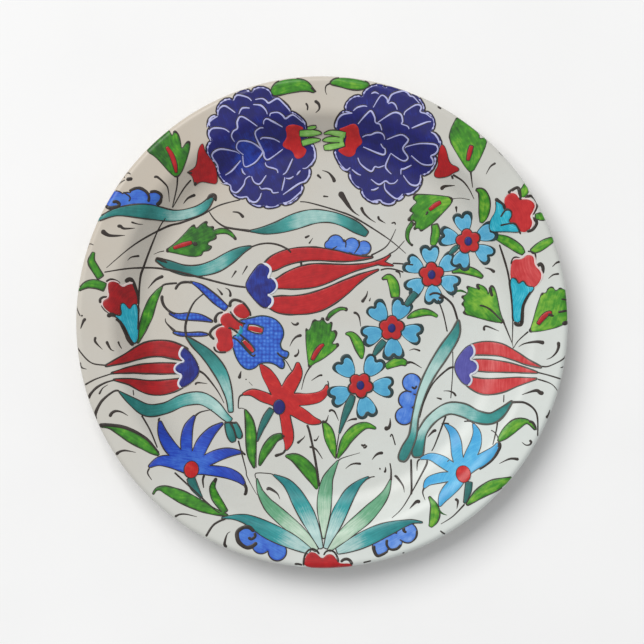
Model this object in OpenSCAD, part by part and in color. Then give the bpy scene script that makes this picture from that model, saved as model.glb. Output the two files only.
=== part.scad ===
// Hand painted ceramic plate: a turned clay body with a foot ring, a white slip over the face and
// the lip, a clear glaze behind, and floral decoration painted field by field in thin raised glaze.
// The plate stands on its foot ring at z = 0, with its axis along Z.

/* [Plate] */
// diameter over the lip
plate_d = 250; // [180:1:300]
// diameter of the flat well
well_d = 172; // [120:1:180]
// thickness of the wall, coats included
wall_t = 4.6; // [4:0.1:6]
// height from the well to the start of the rim
wall_rise = 12; // [9:0.5:18]
// slope of the wall, in degrees
wall_slope = 38; // [30:1:50]
// radius where the well turns up into the wall
well_bend_r = 16; // [12:1:24]
// radius where the wall turns out into the rim
rim_bend_r = 10; // [8:1:14]
// slope of the rim, in degrees
rim_slope = 3; // [1:0.5:8]

/* [Foot ring] */
// outer diameter of the foot ring
foot_d = 130; // [100:1:150]
// width of the foot ring
foot_w = 5; // [4:0.5:8]
// height of the foot ring under the plate
foot_h = 3.4; // [3:0.1:5]

/* [Coats] */
// thickness of the slip and of the back glaze
coat_t = 0.35; // [0.3:0.05:0.5]
// thickness of one painted layer
paint_t = 0.15; // [0.1:0.05:0.2]

/* [Hidden] */

// ---- section of the plate ----
plate_r = plate_d / 2;
foot_r = foot_d / 2;
well_z = foot_h + wall_t;
lip_r = wall_t / 2;
arc_steps = 8;
turn_fn = 256;
design_scale = plate_d / 250;
painted_lip_slope = -60;

// a station of the face line is [radius, height, slope]
wall_run = (wall_rise - well_bend_r * (1 - cos(wall_slope))
    - rim_bend_r * (cos(rim_slope) - cos(wall_slope))) / sin(wall_slope);
well_bend_c = [well_d / 2, well_z + well_bend_r];
rim_bend_c = well_bend_c + (well_bend_r + rim_bend_r) * [sin(wall_slope), -cos(wall_slope)]
    + wall_run * [cos(wall_slope), sin(wall_slope)];
rim_start = rim_bend_c + rim_bend_r * [-sin(rim_slope), cos(rim_slope)];
lip_x = plate_r - lip_r;
rim_end_x = lip_x - lip_r * sin(rim_slope);
rim_end_z = rim_start[1] + (rim_end_x - rim_start[0]) * tan(rim_slope);
lip_c = [lip_x, rim_end_z - lip_r * cos(rim_slope)];

// stations on an arc about c, from slope a to slope b; r is negative where the centre is above
function arc_stations(c, r, a, b) =
    [for (i = [0:arc_steps]) let (s = a + (b - a) * i / arc_steps)
        [c[0] - r * sin(s), c[1] + r * cos(s), s]];

function face_stations(lip_end) = concat([[0, well_z, 0]],
    arc_stations(well_bend_c, -well_bend_r, 0, wall_slope),
    arc_stations(rim_bend_c, rim_bend_r, wall_slope, rim_slope),
    arc_stations(lip_c, lip_r, rim_slope, lip_end));

// the stations moved by d along their normals
function lifted(stations, d) = [for (s = stations) [s[0] - d * sin(s[2]), s[1] + d * cos(s[2])]];
function reversed(list) = [for (i = [len(list) - 1:-1:0]) list[i]];

// a turned skin between two offsets of the same stations
module turned_skin(stations, low, high) {
    rotate_extrude($fn = turn_fn)
        polygon(concat(lifted(stations, low), reversed(lifted(stations, high))));
}

lip_under = rim_slope - 180;
slip_stations = face_stations(lip_under);
bend_stations = concat(
    arc_stations(rim_bend_c, rim_bend_r, wall_slope, rim_slope),
    [[rim_end_x, rim_end_z, rim_slope]]);
back_stations = concat([[foot_r, well_z, 0]],
    arc_stations(well_bend_c, -well_bend_r, 0, wall_slope), bend_stations);

module clay_body() {
    under = lifted(back_stations, coat_t - wall_t);
    color("peru")
        rotate_extrude($fn = turn_fn)
            polygon(concat(lifted(slip_stations, -coat_t), reversed(under),
                [[foot_r, foot_h], [foot_r, 0], [foot_r - foot_w, 0],
                 [foot_r - foot_w, foot_h + coat_t], [0, foot_h + coat_t]]));
}

module white_slip() {
    color("gainsboro") turned_skin(slip_stations, -coat_t, 0);
}

module back_glaze() {
    color("lightgray") turned_skin(back_stations, -wall_t, coat_t - wall_t);
}

module foot_well_glaze() {
    color("lightgray") translate([0, 0, foot_h])
        cylinder(h = coat_t, r = foot_r - foot_w, $fn = turn_fn);
}

// ---- painted fields ----
// children are flat outlines on the face; layer 0 lies on the slip, layer 1 on layer 0
module painted(layer = 0) {
    intersection() {
        linear_extrude(height = 3 * (well_z + wall_rise)) scale(design_scale) children();
        turned_skin(face_stations(painted_lip_slope), layer * paint_t, (layer + 1) * paint_t);
    }
}

// one pass of corner cutting on a closed outline
function cut_corners(p) = [for (i = [0:len(p) - 1]) let (q = p[(i + 1) % len(p)])
    each [0.75 * p[i] + 0.25 * q, 0.25 * p[i] + 0.75 * q]];
module soft_outline(p) {
    polygon(cut_corners(cut_corners(p)));
}

// a point on the smooth curve through a, b, c, d, between b and c
function spline(a, b, c, d, t) = b + 0.5 * t * ((c - a) + t * ((2 * a - 5 * b + 4 * c - d)
    + t * (3 * b - a - 3 * c + d)));
function through(p, n) = concat(
    [for (i = [0:len(p) - 2]) for (k = [0:n - 1])
        spline(p[max(i - 1, 0)], p[i], p[i + 1], p[min(i + 2, len(p) - 1)], k / n)],
    [p[len(p) - 1]]);

// a leaf or petal along a curved midline; each point is [x, y, width]
function side_of(m, i, s) = let (a = m[max(i - 1, 0)], b = m[min(i + 1, len(m) - 1)],
    d = [b[0] - a[0], b[1] - a[1]]) [m[i][0], m[i][1]] + s * m[i][2] / 2 * [-d[1], d[0]] / norm(d);
module blade(p, n = 4) {
    m = through(p, n);
    polygon(concat([for (i = [0:len(m) - 1]) side_of(m, i, 1)],
        reversed([for (i = [0:len(m) - 1]) side_of(m, i, -1)])));
}
module blades(list) {
    for (p = list) blade(p);
}

// an outline of half-round lobes between cusps, anticlockwise; each point is [x, y, lobe height]
lobe_steps = 6;
module lobed(p) {
    polygon([for (i = [0:len(p) - 1]) let (a = [p[i][0], p[i][1]],
        q = p[(i + 1) % len(p)], b = [q[0], q[1]], d = b - a, out = [d[1], -d[0]] / norm(d))
        for (k = [0:lobe_steps - 1]) let (t = 180 * k / lobe_steps)
            a + d * (1 - cos(t)) / 2 + out * p[i][2] * sin(t)]);
}

// a group of round puffs, each [x, y, radius]
module puffs(list) {
    for (p = list) translate([p[0], p[1]]) circle(r = p[2], $fn = 48);
}

// ---- carnations ----
left_carnation = [[-16, 107, 1.8], [-25, 114.5, 4], [-36, 117, 2.8], [-45, 113, 4], [-53, 105, 3],
    [-57, 98.7, 1.9], [-56, 92.5, 3.9], [-54, 81, 2.5], [-47, 69.8, 3.5], [-38.5, 64, 2.5],
    [-30, 59.3, 1.8], [-21, 60.3, 4.2], [-10, 70.7, 2.2], [-6.5, 79, 3.2], [-6, 91.5, 0],
    [-8, 100.5, 1.4]];
right_carnation = [[6.5, 88, 2.3], [14, 76.5, 2.2], [20, 68, 3.4], [30, 61.5, 2.4], [38, 62, 1.3],
    [42, 65.2, 3.9], [50.5, 75, 3.5], [57.5, 85, 4.4], [55.5, 96.7, 3.8], [51.8, 107, 2.9],
    [44.5, 115.5, 1.5], [32, 119.5, 3.4], [20.5, 114.7, 3.4], [11.8, 107.5, 2.1], [7, 98.5, 0]];
left_calyx = [[-19, 99.5], [-14.5, 101], [-8.5, 99], [-12, 97], [-10.5, 92.5], [-9.5, 89.3],
    [-7.5, 88], [-9.5, 84], [-13.5, 83], [-15, 87.5], [-18.5, 88.5], [-20.7, 90.5], [-17.5, 94.5]];
right_calyx = [[8, 98.3], [11, 99.2], [16.5, 101.5], [18.8, 99], [19, 95.5], [21.2, 91.5],
    [17.5, 89], [17, 85.5], [14, 84], [10.5, 85.5], [7.5, 88], [11.8, 89.3], [12, 93], [12.9, 95.5]];

module left_carnation_petals() { color("midnightblue") painted() lobed(left_carnation); }
module right_carnation_petals() { color("midnightblue") painted() lobed(right_carnation); }
module carnation_calyxes() {
    color("firebrick") painted(1) {
        soft_outline(left_calyx);
        soft_outline(right_calyx);
    }
}
module carnation_sepals() {
    color("forestgreen") painted(2) blades([
        [[-11.5, 96.3, 3], [-6, 96.5, 3.4], [-2, 96.6, 2], [-0.3, 96.4, 0.5]],
        [[-10.3, 91.3, 3], [-6, 92.5, 3], [-2.5, 93, 1.8], [-0.8, 93.2, 0.5]],
        [[-7.5, 98.8, 1], [-5.5, 99.2, 1.8], [-3, 99.6, 1.2]],
        [[1, 96.2, 0.6], [4, 96.8, 2], [8, 96.3, 3], [12, 95.5, 3]],
        [[0.3, 92.8, 0.6], [2.5, 93.2, 2.3], [6, 93.3, 3], [11, 93, 2.6]],
        [[1, 89, 2.3], [4, 89.5, 3.3], [8, 90.2, 2.8], [11.5, 91, 2.2]]]);
}

// ---- buds and leaves at the top of the rim ----
left_bud = [[-60.5, 91.5], [-63, 88], [-63.8, 80], [-65.5, 78], [-68.8, 76.2], [-66, 74.5],
    [-65, 69.5], [-62, 72], [-57.5, 71], [-53, 70.2], [-54.2, 79.5], [-56.5, 83], [-59.8, 87]];
right_bud = [[60.5, 91], [63, 88.5], [64.8, 80.5], [69, 79], [70.2, 77.2], [67, 76], [64.5, 74.2],
    [58, 73.4], [57, 76], [59.5, 80], [58.8, 84]];
left_rim_leaf = [[-26.5, 117], [-24.5, 121], [-20, 123], [-11, 123.8], [-6, 121.5], [-3, 116],
    [-8, 117.8], [-17, 116.3], [-24, 114.6]];
right_rim_leaf = [[3.5, 121], [6, 123.8], [14, 124], [25.5, 121.5], [21, 117.6], [14, 118.2],
    [8, 119.8]];

module rim_buds() {
    color("firebrick") painted(1) {
        soft_outline(left_bud);
        soft_outline(right_bud);
    }
}
module rim_leaves() {
    color("forestgreen") painted(1) {
        soft_outline(left_rim_leaf);
        soft_outline(right_rim_leaf);
    }
}

// ---- serrated leaves ----
module serrated_leaf(outline, sprouts = []) {
    color("forestgreen") painted() {
        polygon(cut_corners(outline));
        blades(sprouts);
    }
}
module serrated_leaf_upper_left() {
    serrated_leaf([[-89.4, 88.6], [-86.4, 90.8], [-82.2, 94.2], [-79.4, 98], [-77.6, 97.6],
        [-76, 94.2], [-75.2, 97.6], [-72.8, 95.6], [-71.7, 91.6], [-71.4, 87.6], [-69, 91.6],
        [-67, 92], [-67, 88], [-69, 81.6], [-71.4, 75.8], [-74, 73.2], [-77.4, 75.6],
        [-81.6, 80.6], [-85.4, 84.4], [-88.4, 86]]);
}
module serrated_leaf_left() {
    serrated_leaf([[-80.8, 36.2], [-75, 40.4], [-70, 45.6], [-67.4, 48.6], [-65, 50], [-64.4, 47.4],
        [-61.6, 50.4], [-58.4, 51.8], [-59, 48.6], [-55, 49], [-55.6, 46.4], [-57.4, 45.4],
        [-53.4, 44.2], [-54.4, 42.2], [-57.8, 41], [-58.6, 39.4], [-55.8, 38.8], [-57.8, 36.2],
        [-61, 36], [-61, 34], [-66, 33], [-75, 35]],
        [[[-57, 45, 2.2], [-52, 46.5, 3], [-48, 46, 2.5], [-45, 43.5, 1.5], [-44, 42, 0.5]]]);
}
module serrated_leaf_middle() {
    serrated_leaf([[-8.4, -2.6], [-7, -4.4], [-6, -3], [-5, 0.4], [-3.6, 1.4], [-2, 0.5],
        [-0.6, 0.9], [0.3, 2.8], [1.2, 0.8], [2.8, -1.2], [5.2, 0.6], [5.2, -2.6], [4.4, -5],
        [6.8, -4], [7.8, -6], [6.6, -9.2], [4.8, -11.4], [9.2, -10.8], [6.8, -14.2], [0, -19.4],
        [-4.6, -21.6], [-6.8, -24], [-7.6, -18], [-8.4, -10]],
        [[[2.4, 1, 1.2], [4.5, 4, 2.4], [8, 6.3, 2], [10.5, 6.9, 1.6], [12.9, 6.2, 1.5]]]);
}
module serrated_leaf_upper_right() {
    serrated_leaf([[67, 101.6], [68.5, 104.3], [72, 103.8], [75.5, 99.8], [80, 95.8], [80, 93],
        [83, 94], [84, 91], [80.5, 83], [76.4, 75.4], [73.5, 77.5], [68.7, 85], [64.3, 92.8],
        [65, 97.5]]);
}
module serrated_leaf_right() {
    serrated_leaf([[47.2, 65.4], [52, 65.4], [60, 64.8], [66.6, 63.8], [66.6, 60.8], [61.6, 55.4],
        [57, 50.6], [53, 47.6], [50, 46], [49.6, 48.2], [46.6, 46.8], [47.8, 50], [47.6, 51.8],
        [43.4, 51.4], [45.4, 54.6], [47, 55.8], [44.4, 56.6], [46.4, 59.6], [48.8, 61.2],
        [46.2, 62.8]],
        [[[46.5, 51, 2.2], [44, 47, 2.3], [43.6, 43, 1.8], [44.8, 40.3, 1], [46.5, 39, 0.4]]]);
}
module serrated_leaf_low_right() {
    serrated_leaf([[71.6, 4.2], [73.4, 6.8], [71, 9.4], [73, 11], [70.8, 13], [73.4, 13.8],
        [74.8, 15.8], [73.4, 18.6], [77, 17.8], [79.6, 16.8], [78.4, 19.8], [82.6, 18.6],
        [84.6, 16.4], [85, 13.6], [85.4, 17.6], [86.8, 19], [88.6, 17], [90, 11], [91.2, 4.6],
        [93.4, -0.8], [87, 0], [79, 2.2]]);
}
module serrated_leaf_rim() {
    serrated_leaf([[105, -5.2], [106.4, -2], [108.4, 5.6], [110, 10.8], [111.6, 15], [113.8, 14.6],
        [114.6, 17.2], [117.2, 18.2], [118.8, 15.6], [120.8, 17.6], [123, 16.4], [125.2, 16.4],
        [125.4, 0.4], [121, -2.4], [115, -4], [109.6, -5]]);
}
module serrated_leaf_veins() {
    color("firebrick") painted(1) blades([
        [[-79, 89, 1.6], [-76.5, 85, 2.4], [-74.8, 80, 2.2], [-74.2, 76, 1.2]],
        [[-76, 37.8, 1.6], [-71, 39.5, 2.4], [-66.5, 40.7, 1.8]],
        [[-5, -19.4, 1.8], [-3.2, -15.8, 2.5], [-0.8, -12.6, 2.1], [1, -11.4, 1.2]],
        [[74.1, 82.1, 1.6], [75, 86, 2.4], [76, 89.7, 2]],
        [[54.8, 57.3, 1.8], [58, 59.8, 2.4], [60.7, 61.3, 1.8]],
        [[109.7, -1.1, 1.8], [112.2, 2.2, 2.6], [114.6, 4.3, 2.2], [116.7, 4.9, 1.4]]]);
}

// ---- long saz leaves ----
module saz_leaf(midlines, layer = 0) {
    color("cadetblue") painted(layer) blades(midlines);
}
module saz_leaf_rim() {
    saz_leaf([[[-116, 50.5, 0.5], [-105, 55.8, 3.6], [-90, 56.3, 7.2], [-76, 54.3, 5.4],
        [-66, 56, 4.8], [-60, 59, 4.4], [-56, 64, 2]]], 1);
}
module saz_leaf_left() {
    saz_leaf([[[-84.6, 32, 1.5], [-78, 29, 4.5], [-70, 26.4, 5], [-62, 26.4, 5.6],
        [-54, 28.8, 6.5], [-47, 33, 6], [-41, 36.7, 3.5], [-36, 38.6, 0.5]]]);
}
module saz_leaf_middle() {
    saz_leaf([[[-37, 46.5, 0.5], [-30, 46.8, 3.6], [-22, 48.5, 6], [-14, 51.3, 7.8],
        [-5, 53.8, 7.2], [4, 53.7, 5.5], [12, 51.2, 5.5], [18, 48, 5.5], [23, 44.8, 3]]]);
}
module saz_leaf_left_tall() {
    saz_leaf([[[-69.4, -7.4, 0.5], [-65, -11.4, 3.4], [-59.6, -15.8, 5.4], [-55, -21, 6.4],
        [-51.2, -27, 6.2], [-48.6, -34, 4.6], [-47.2, -40, 3], [-46.6, -46, 2.4]],
        [[-48.6, -51.4, 2.2], [-47.4, -55, 3.8], [-46, -59, 4], [-45.2, -61.2, 2]]], 1);
}
module saz_leaf_left_long() {
    saz_leaf([[[-103, -35.4, 0.5], [-96.5, -40.5, 4], [-89, -45, 6], [-80, -44, 5.4],
        [-71, -40, 6], [-62, -39, 6.2], [-55, -42.8, 5.6], [-49.8, -48, 3.8], [-46.6, -50.6, 3]],
        [[-45, -51.6, 2.4], [-43.8, -54.4, 3.4], [-42.4, -57.6, 3.4], [-41.6, -59.4, 1.8]]]);
}
module saz_leaf_right_tall() {
    saz_leaf([[[69.7, 1, 0.5], [68, -6, 4.6], [62, -15.5, 6], [55.5, -26, 5],
        [51, -36, 4], [47.8, -48, 3], [46.4, -58, 3.6], [43.4, -64.4, 5], [41.4, -69, 4.6],
        [40.9, -71, 2.4]]], 1);
}
module saz_leaf_right_long() {
    saz_leaf([[[48.8, -69, 2.8], [48.8, -67.4, 5.4], [49.4, -62, 5.8], [51.4, -56, 4.4],
        [56, -49.5, 4.6],
        [64, -44.3, 5.5], [72, -45, 6.5], [79, -48.3, 6], [86, -49.2, 5.2], [91.5, -45.8, 4],
        [96.6, -40.4, 0.5]]]);
}

// ---- tulips ----
// the petals run under their cup
middle_tulip_upper_petal = [[-29.6, 27, 3], [-25.6, 29.4, 7], [-20, 32.4, 7.6], [-12, 34.4, 7.2],
    [-3, 34.8, 6.6], [7, 33.8, 5.4], [15, 32.8, 3.4], [22, 32.8, 1.2], [26, 33.2, 0.5]];

module left_tulip_petals() {
    color("firebrick") painted() blades([
        [[-110, -22.3, 0.5], [-100, -18.6, 4.2], [-90, -14.3, 7.4], [-82, -13.5, 8.2],
            [-76, -14.6, 8.2], [-69.6, -16.8, 6.4]],
        [[-107, -26, 0.5], [-98, -24.4, 3], [-90, -23.8, 4.8], [-82, -23.7, 5.5],
            [-76, -23.7, 5.2], [-73, -23.8, 4.4]],
        [[-106, -29.3, 0.5], [-98, -30.4, 3], [-90, -33, 6.4], [-83, -33.6, 7.4],
            [-76, -32.4, 6.4], [-70.4, -30.6, 3.6]]]);
}
module middle_tulip_petals() {
    color("firebrick") painted() blades([
        middle_tulip_upper_petal,
        [[-25, 19.2, 4], [-22, 19.8, 5.6], [-17, 21.2, 8.8], [-11, 22.6, 11.2], [-4, 23.8, 11.8],
            [3, 25, 9.4], [10, 26.4, 6], [17, 27.8, 3.2], [24, 29.2, 2], [29, 30.6, 2],
            [32, 32, 1.7], [35, 34.4, 0.5]],
        [[28, 30.2, 1], [31, 29.9, 2.2], [34, 29.3, 1.3], [36.6, 28.8, 0.5]],
        [[-27.6, 10.2, 4.6], [-22, 9, 8.6], [-15, 8.6, 9.4], [-7, 9.3, 10], [-1, 11, 10],
            [6, 14.4, 8.6], [12, 18, 6.8], [17, 21.2, 4.4], [22, 24, 2.4], [29, 26.8, 0.6]]]);
}
module right_tulip_petals() {
    color("firebrick") painted() blades([
        [[74, -15.2, 4.4], [78, -13.9, 5.8], [84, -13.4, 6.8], [91, -14.2, 6.4], [98, -17.1, 4.6],
            [104.4, -20.4, 2.8], [111.4, -23, 0.5]],
        [[76.6, -22, 5], [80, -22, 6], [86.4, -22.4, 6.2], [95.1, -23.2, 4.8], [102.7, -24.4, 2.8],
            [109.6, -25.7, 0.5]],
        [[73.6, -29.4, 3.8], [77, -31.2, 6], [83, -33, 8], [91, -32.4, 7.2], [99.2, -30.4, 4.4],
            [109.1, -28.8, 0.5]]]);
}
module left_tulip_cup() {
    color("midnightblue") painted(1) soft_outline([[-70.2, -12.6], [-65.8, -17.4], [-62, -24.6],
        [-65.2, -29.8], [-71.4, -34], [-73.8, -31.4], [-70.6, -27], [-75.4, -25.2],
        [-74.6, -21.8], [-69.2, -20.2], [-72.9, -17.4], [-72, -14.2]]);
}
module middle_tulip_cup() {
    color("midnightblue") painted(1) soft_outline([[-32, 30], [-28.2, 29.2], [-26, 26.6],
        [-28.4, 22], [-25, 22.4], [-22.8, 18.6], [-24.6, 15.4], [-28.8, 13.8], [-25.4, 12.6],
        [-25.6, 8.8], [-29.4, 6.6], [-34.6, 11.2], [-39.6, 18], [-37.6, 22.6], [-34.6, 26.8]]);
}
module right_tulip_cup() {
    color("midnightblue") painted(1) soft_outline([[75.6, -11.4], [72, -14.2], [68, -20],
        [67.6, -25], [71.4, -31.2], [74.8, -32.6], [76.6, -29.4], [74.8, -26.8], [79.4, -25],
        [79.2, -20.6], [74.6, -19.2], [77.8, -16.6], [77.4, -13]]);
}

// ---- spring blossoms ----
petal_outline = [[-5, -1.6], [-2.4, -3.6], [1.4, -5], [4.6, -4.4], [5, -1.8], [2.4, 0],
    [5, 1.8], [4.6, 4.4], [1.4, 5], [-2.4, 3.6], [-5, 1.6]];
blossom_centres = [[74.7, 41.3], [56, 24.2], [35.6, -3.1], [19.6, -32.3]];
blossom_star_turns = [100, 92, 88, 60];
star_lobes = 5;
star_lobe_r = 2.7;
star_lobe_reach = 3.7;
module heart_petals(centre, reach, size, turns, layer = 0) {
    color("deepskyblue") painted(layer) translate(centre) for (a = turns)
        rotate(a) translate([reach, 0]) scale(size) soft_outline(petal_outline);
}
module top_blossom_petals() {
    heart_petals(blossom_centres[0], 9.6, 0.9, [104, 24, -36, 250, 168], 1);
}
module second_blossom_petals() {
    heart_petals(blossom_centres[1], 9.8, 0.9, [152, 94, 34, -25, -85, 216]);
}
module third_blossom_petals() {
    heart_petals(blossom_centres[2], 10.2, 0.98, [129, 65, -14, -86, 199]);
}
module low_blossom_petals() {
    heart_petals(blossom_centres[3], 11.2, 1, [130, 57, -4, -76, 205]);
}
module blossom_stars() {
    color("firebrick") painted(2) for (i = [0:3]) translate(blossom_centres[i])
        rotate(blossom_star_turns[i]) {
            circle(r = star_lobe_reach, $fn = 30);
            for (k = [0:star_lobes - 1]) rotate(k * 360 / star_lobes)
                translate([star_lobe_reach, 0]) circle(r = star_lobe_r, $fn = 36);
        }
}
module blossom_eyes() {
    color("midnightblue") painted(3) for (c = blossom_centres) translate(c) scale([0.85, 1])
        circle(r = 2.3, $fn = 32);
}

// ---- star flowers ----
// pointed petals joined by a disc where they meet
module star_flower(hub, midlines) {
    painted() {
        blades(midlines);
        puffs([hub]);
    }
}
module red_star_petals() {
    color("firebrick") star_flower([-20.6, -42.4, 3.4], [
        [[-31.6, -21.6, 1], [-28.4, -26, 5.4], [-25, -31.5, 6.6], [-21.6, -38.7, 6], [-20, -43, 4]],
        [[-12.4, -20.6, 1.4], [-12.6, -25.9, 5.2], [-15.5, -31, 7], [-18.6, -37, 6.6],
            [-20.6, -42.6, 5]],
        [[2.6, -32.2, 1.2], [1.6, -35.6, 3.4], [-2, -38.4, 5.2], [-8, -39.5, 5.8],
            [-14, -39.7, 6.4], [-19.6, -42, 6]],
        [[-40.6, -37, 1], [-35.8, -36, 3.4], [-30, -38.2, 5.2], [-25, -40.4, 4.4], [-21, -43, 4]],
        [[-19.6, -43.4, 6], [-14.6, -44.8, 6], [-10, -47.4, 6], [-5.4, -50.2, 4.6], [-0.6, -51.2, 1.4]],
        [[-19.6, -43.6, 5], [-18.6, -50, 5.2], [-17.4, -57, 5.6], [-17.2, -61.6, 4.2],
            [-18.4, -65.4, 1]]]);
}
module blue_star_petals() {
    color("royalblue") star_flower([-66.6, -75.2, 3.6], [
        [[-82.8, -50.6, 1.4], [-81.2, -57, 4.6], [-77.4, -63.6, 6.2], [-72, -69.4, 5.4],
            [-67.6, -75, 4]],
        [[-65, -47.8, 1], [-68, -53, 4.2], [-69.2, -59, 5.6], [-69, -66, 5.4], [-67, -75, 4.4]],
        [[-50.6, -51.6, 1], [-56, -55.6, 4.4], [-60.6, -61.4, 6.4], [-63.4, -67.4, 6.2],
            [-66.6, -75, 4.6]],
        [[-40.6, -66.6, 1], [-47.5, -66.6, 4.4], [-54.5, -68.6, 6], [-61, -72, 5.6],
            [-66, -75.4, 4.6]],
        [[-39.6, -83, 1.4], [-42.6, -79.8, 4.2], [-48, -77.2, 5.4], [-55, -76, 5], [-61, -75.6, 4.2],
            [-66, -75.6, 4]],
        [[-88, -73.6, 1], [-83, -70.8, 4.4], [-77.2, -71, 5.8], [-71.4, -73.4, 5.4],
            [-67, -75.6, 4.6]]]);
}
module sky_star_petals() {
    color("deepskyblue") star_flower([71.8, -77.3, 3.6], [
        [[62.6, -52, 1], [66.6, -56, 4], [68.4, -61.4, 5.4], [69, -68, 5.4], [71, -76, 4.6]],
        [[77.2, -52, 1], [79, -56.6, 3.8], [78.2, -62.4, 5.6], [75.2, -69, 5.8], [72.4, -76.6, 4.8]],
        [[89.6, -61.6, 1.4], [87.4, -65.4, 4.2], [82.6, -69.2, 6], [77.2, -72.4, 5.8],
            [72, -76.6, 5]],
        [[50.2, -69.8, 1], [55.4, -68.8, 3.6], [61, -71, 5.6], [66, -74.2, 5.4], [71, -77, 4.6]],
        [[52, -84.6, 1], [54.6, -81.2, 4], [60.4, -79.4, 5], [66, -78.6, 4.4], [71, -77.8, 4]],
        [[59.8, -93.6, 1], [61.6, -89.2, 4.8], [65, -85, 6.4], [68.6, -81.6, 5.8], [71.6, -78, 4]]]);
}
module cobalt_star_eye() {
    color("midnightblue") painted(2) translate([-21.9, -43.4]) scale([1, 1.25])
        circle(r = 3, $fn = 32);
}
module red_star_eyes() {
    color("firebrick") painted(2) for (c = [[-66.7, -75.3], [72, -77.4]]) translate(c)
        scale([0.9, 1.05]) circle(r = 4, $fn = 40);
}

// ---- roses ----
module left_rose_petals() {
    color("firebrick") painted() soft_outline([[-108.6, 20.4], [-104.6, 20.6], [-101.4, 17.4],
        [-99, 19.2], [-96, 19.6], [-94, 15], [-93.8, 8.4], [-102, 3.4], [-107, 4.2], [-111, 7.2],
        [-111.6, 10.6], [-107.8, 12.4], [-108.8, 16.8]]);
}
module upper_rose_petals() {
    color("firebrick") painted() soft_outline([[92, 61.6], [94.6, 65.6], [98.6, 65.4],
        [100.4, 62.2], [105, 62.6], [108.6, 59.6], [107, 56], [105.6, 53.6], [107.4, 50.6],
        [105, 46], [101, 45.4], [95.6, 50], [94.6, 55]]);
}
module lower_rose_petals() {
    color("firebrick") painted() soft_outline([[96, 28.6], [97.6, 32], [101.6, 31.6],
        [104, 34.2], [107.8, 33.6], [108, 28.6], [111.6, 25.4], [111.4, 21.6], [108.6, 17.6],
        [104, 16.6], [99, 19], [96, 21.4]]);
}
module rose_calyxes() {
    color("darkturquoise") painted(2) {
        soft_outline([[-107, 4.2], [-101.8, 2.6], [-103, 8.8], [-101, 10], [-98.2, 5.8],
            [-96.6, 9.4], [-94, 8.6], [-93.8, -9], [-96, -11.4], [-98, -8.4], [-100.4, -2.5],
            [-103.4, 1.4]]);
        soft_outline([[88.2, 63], [91.4, 60.6], [92.6, 56.4], [95.6, 57], [96.6, 54], [94.4, 51],
            [98.4, 49.4], [101.6, 45.4], [92.2, 46.2], [85.4, 46], [85.6, 51.8], [88.8, 56.5]]);
        soft_outline([[96, 22.6], [99, 22.2], [100.2, 19], [102.6, 21.4], [104.2, 18], [108.6, 17.8],
            [105, 13.6], [102.4, 7.4], [101.7, 0.6], [99.4, -0.6], [97.6, 1], [96.8, 12]]);
    }
}

// ---- clouds ----
module cloud(list) {
    color("cornflowerblue") painted() puffs(list);
}
module cloud_rim_left() {
    cloud([[-104.8, 61.6, 4.9], [-99, 62, 3.8], [-93.2, 63.8, 4.6], [-89, 61.5, 2.6],
        [-85.2, 62.6, 3.6]]);
}
// rests on the upper petal of the middle tulip
module cloud_top() {
    color("cornflowerblue") painted() difference() {
        puffs([[7, 40.4, 4], [3.8, 39.2, 2.4], [11, 37.6, 3.4], [15.2, 39.1, 3.8], [18, 36, 3],
            [21.4, 37.9, 3.5]]);
        offset(r = 0.3) blade(middle_tulip_upper_petal);
    }
}
module cloud_right() {
    cloud([[45.8, -31, 4.6], [43.6, -39.8, 4.4], [42, -48, 4.4], [48, -34, 3], [46.6, -40, 3],
        [45, -46, 2.4]]);
}
module cloud_low_left() {
    cloud([[-38.2, -109.2, 5.5], [-31, -113.3, 4.4], [-33.4, -109.6, 3.2], [-22.7, -116.6, 4.6],
        [-26.6, -113, 3.4]]);
}
module cloud_low_right() {
    cloud([[43.2, -107, 5.1], [36.4, -111.6, 4.3], [29.6, -114.4, 4], [33, -111.4, 2.6]]);
}

// ---- hyacinth ----
module hyacinth_tendrils() {
    color("royalblue") painted() blades([
        [[-66.6, 20.4, 0.8], [-62, 18, 2.6], [-57.5, 14.2, 3.6], [-53, 10.2, 3.8], [-48.8, 6.8, 3]],
        [[-78, 4.6, 0.8], [-73, 2.8, 2.8], [-67.5, 2.8, 3.8], [-62, 2.2, 3.2], [-56, 0.3, 0.6]],
        [[-76, -5.2, 0.8], [-72, -6.2, 1.8], [-67, -6.3, 1.7], [-62, -6.2, 1.9],
            [-58.2, -6.4, 0.6]]]);
}
module hyacinth_petals() {
    color("firebrick") painted(1) {
        soft_outline([[-46, 5.4], [-43.6, 8.6], [-40.4, 9.6], [-37.6, 7.2], [-36.4, 3.6],
            [-39.4, 1.6], [-43, 2.4]]);
        soft_outline([[-52.4, 1], [-50.8, 4], [-47.6, 5], [-44.6, 1.8], [-40.6, -0.4],
            [-40.6, -2.6], [-43, -4.2], [-47, -3], [-50.8, -2.4]]);
        soft_outline([[-54.8, -6.2], [-53.4, -3], [-49.4, -2.2], [-46.2, -3.6], [-46, -8.4],
            [-45, -12.6], [-48.4, -15.6], [-53.2, -14.8], [-54.2, -11.6], [-52.6, -9.8]]);
    }
}
module hyacinth_crown() {
    color("royalblue") painted() difference() {
        soft_outline([[-43.6, 0.6], [-36, 2], [-30.6, 3.4], [-24, 1.8], [-20.2, -2.4],
            [-19.4, -7], [-21.8, -11.2], [-20.4, -14.6], [-16.6, -15.2], [-18, -18.6],
            [-20.8, -18.6], [-19, -21], [-20, -24.6], [-25, -20.6], [-32, -20.8],
            [-34, -23.6], [-38.6, -24.6], [-43, -20.4], [-45.2, -14], [-46.8, -7.6],
            [-42, -6.4], [-41, -3], [-39.4, -1.4]]);
        blade([[-38, -2.6, 3], [-34, -3.6, 4.4], [-30.2, -4.6, 3.4]]);
        blade([[-40.6, -9, 2.4], [-37.6, -12.2, 3.4], [-35, -15.2, 2.6]]);
    }
}

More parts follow.
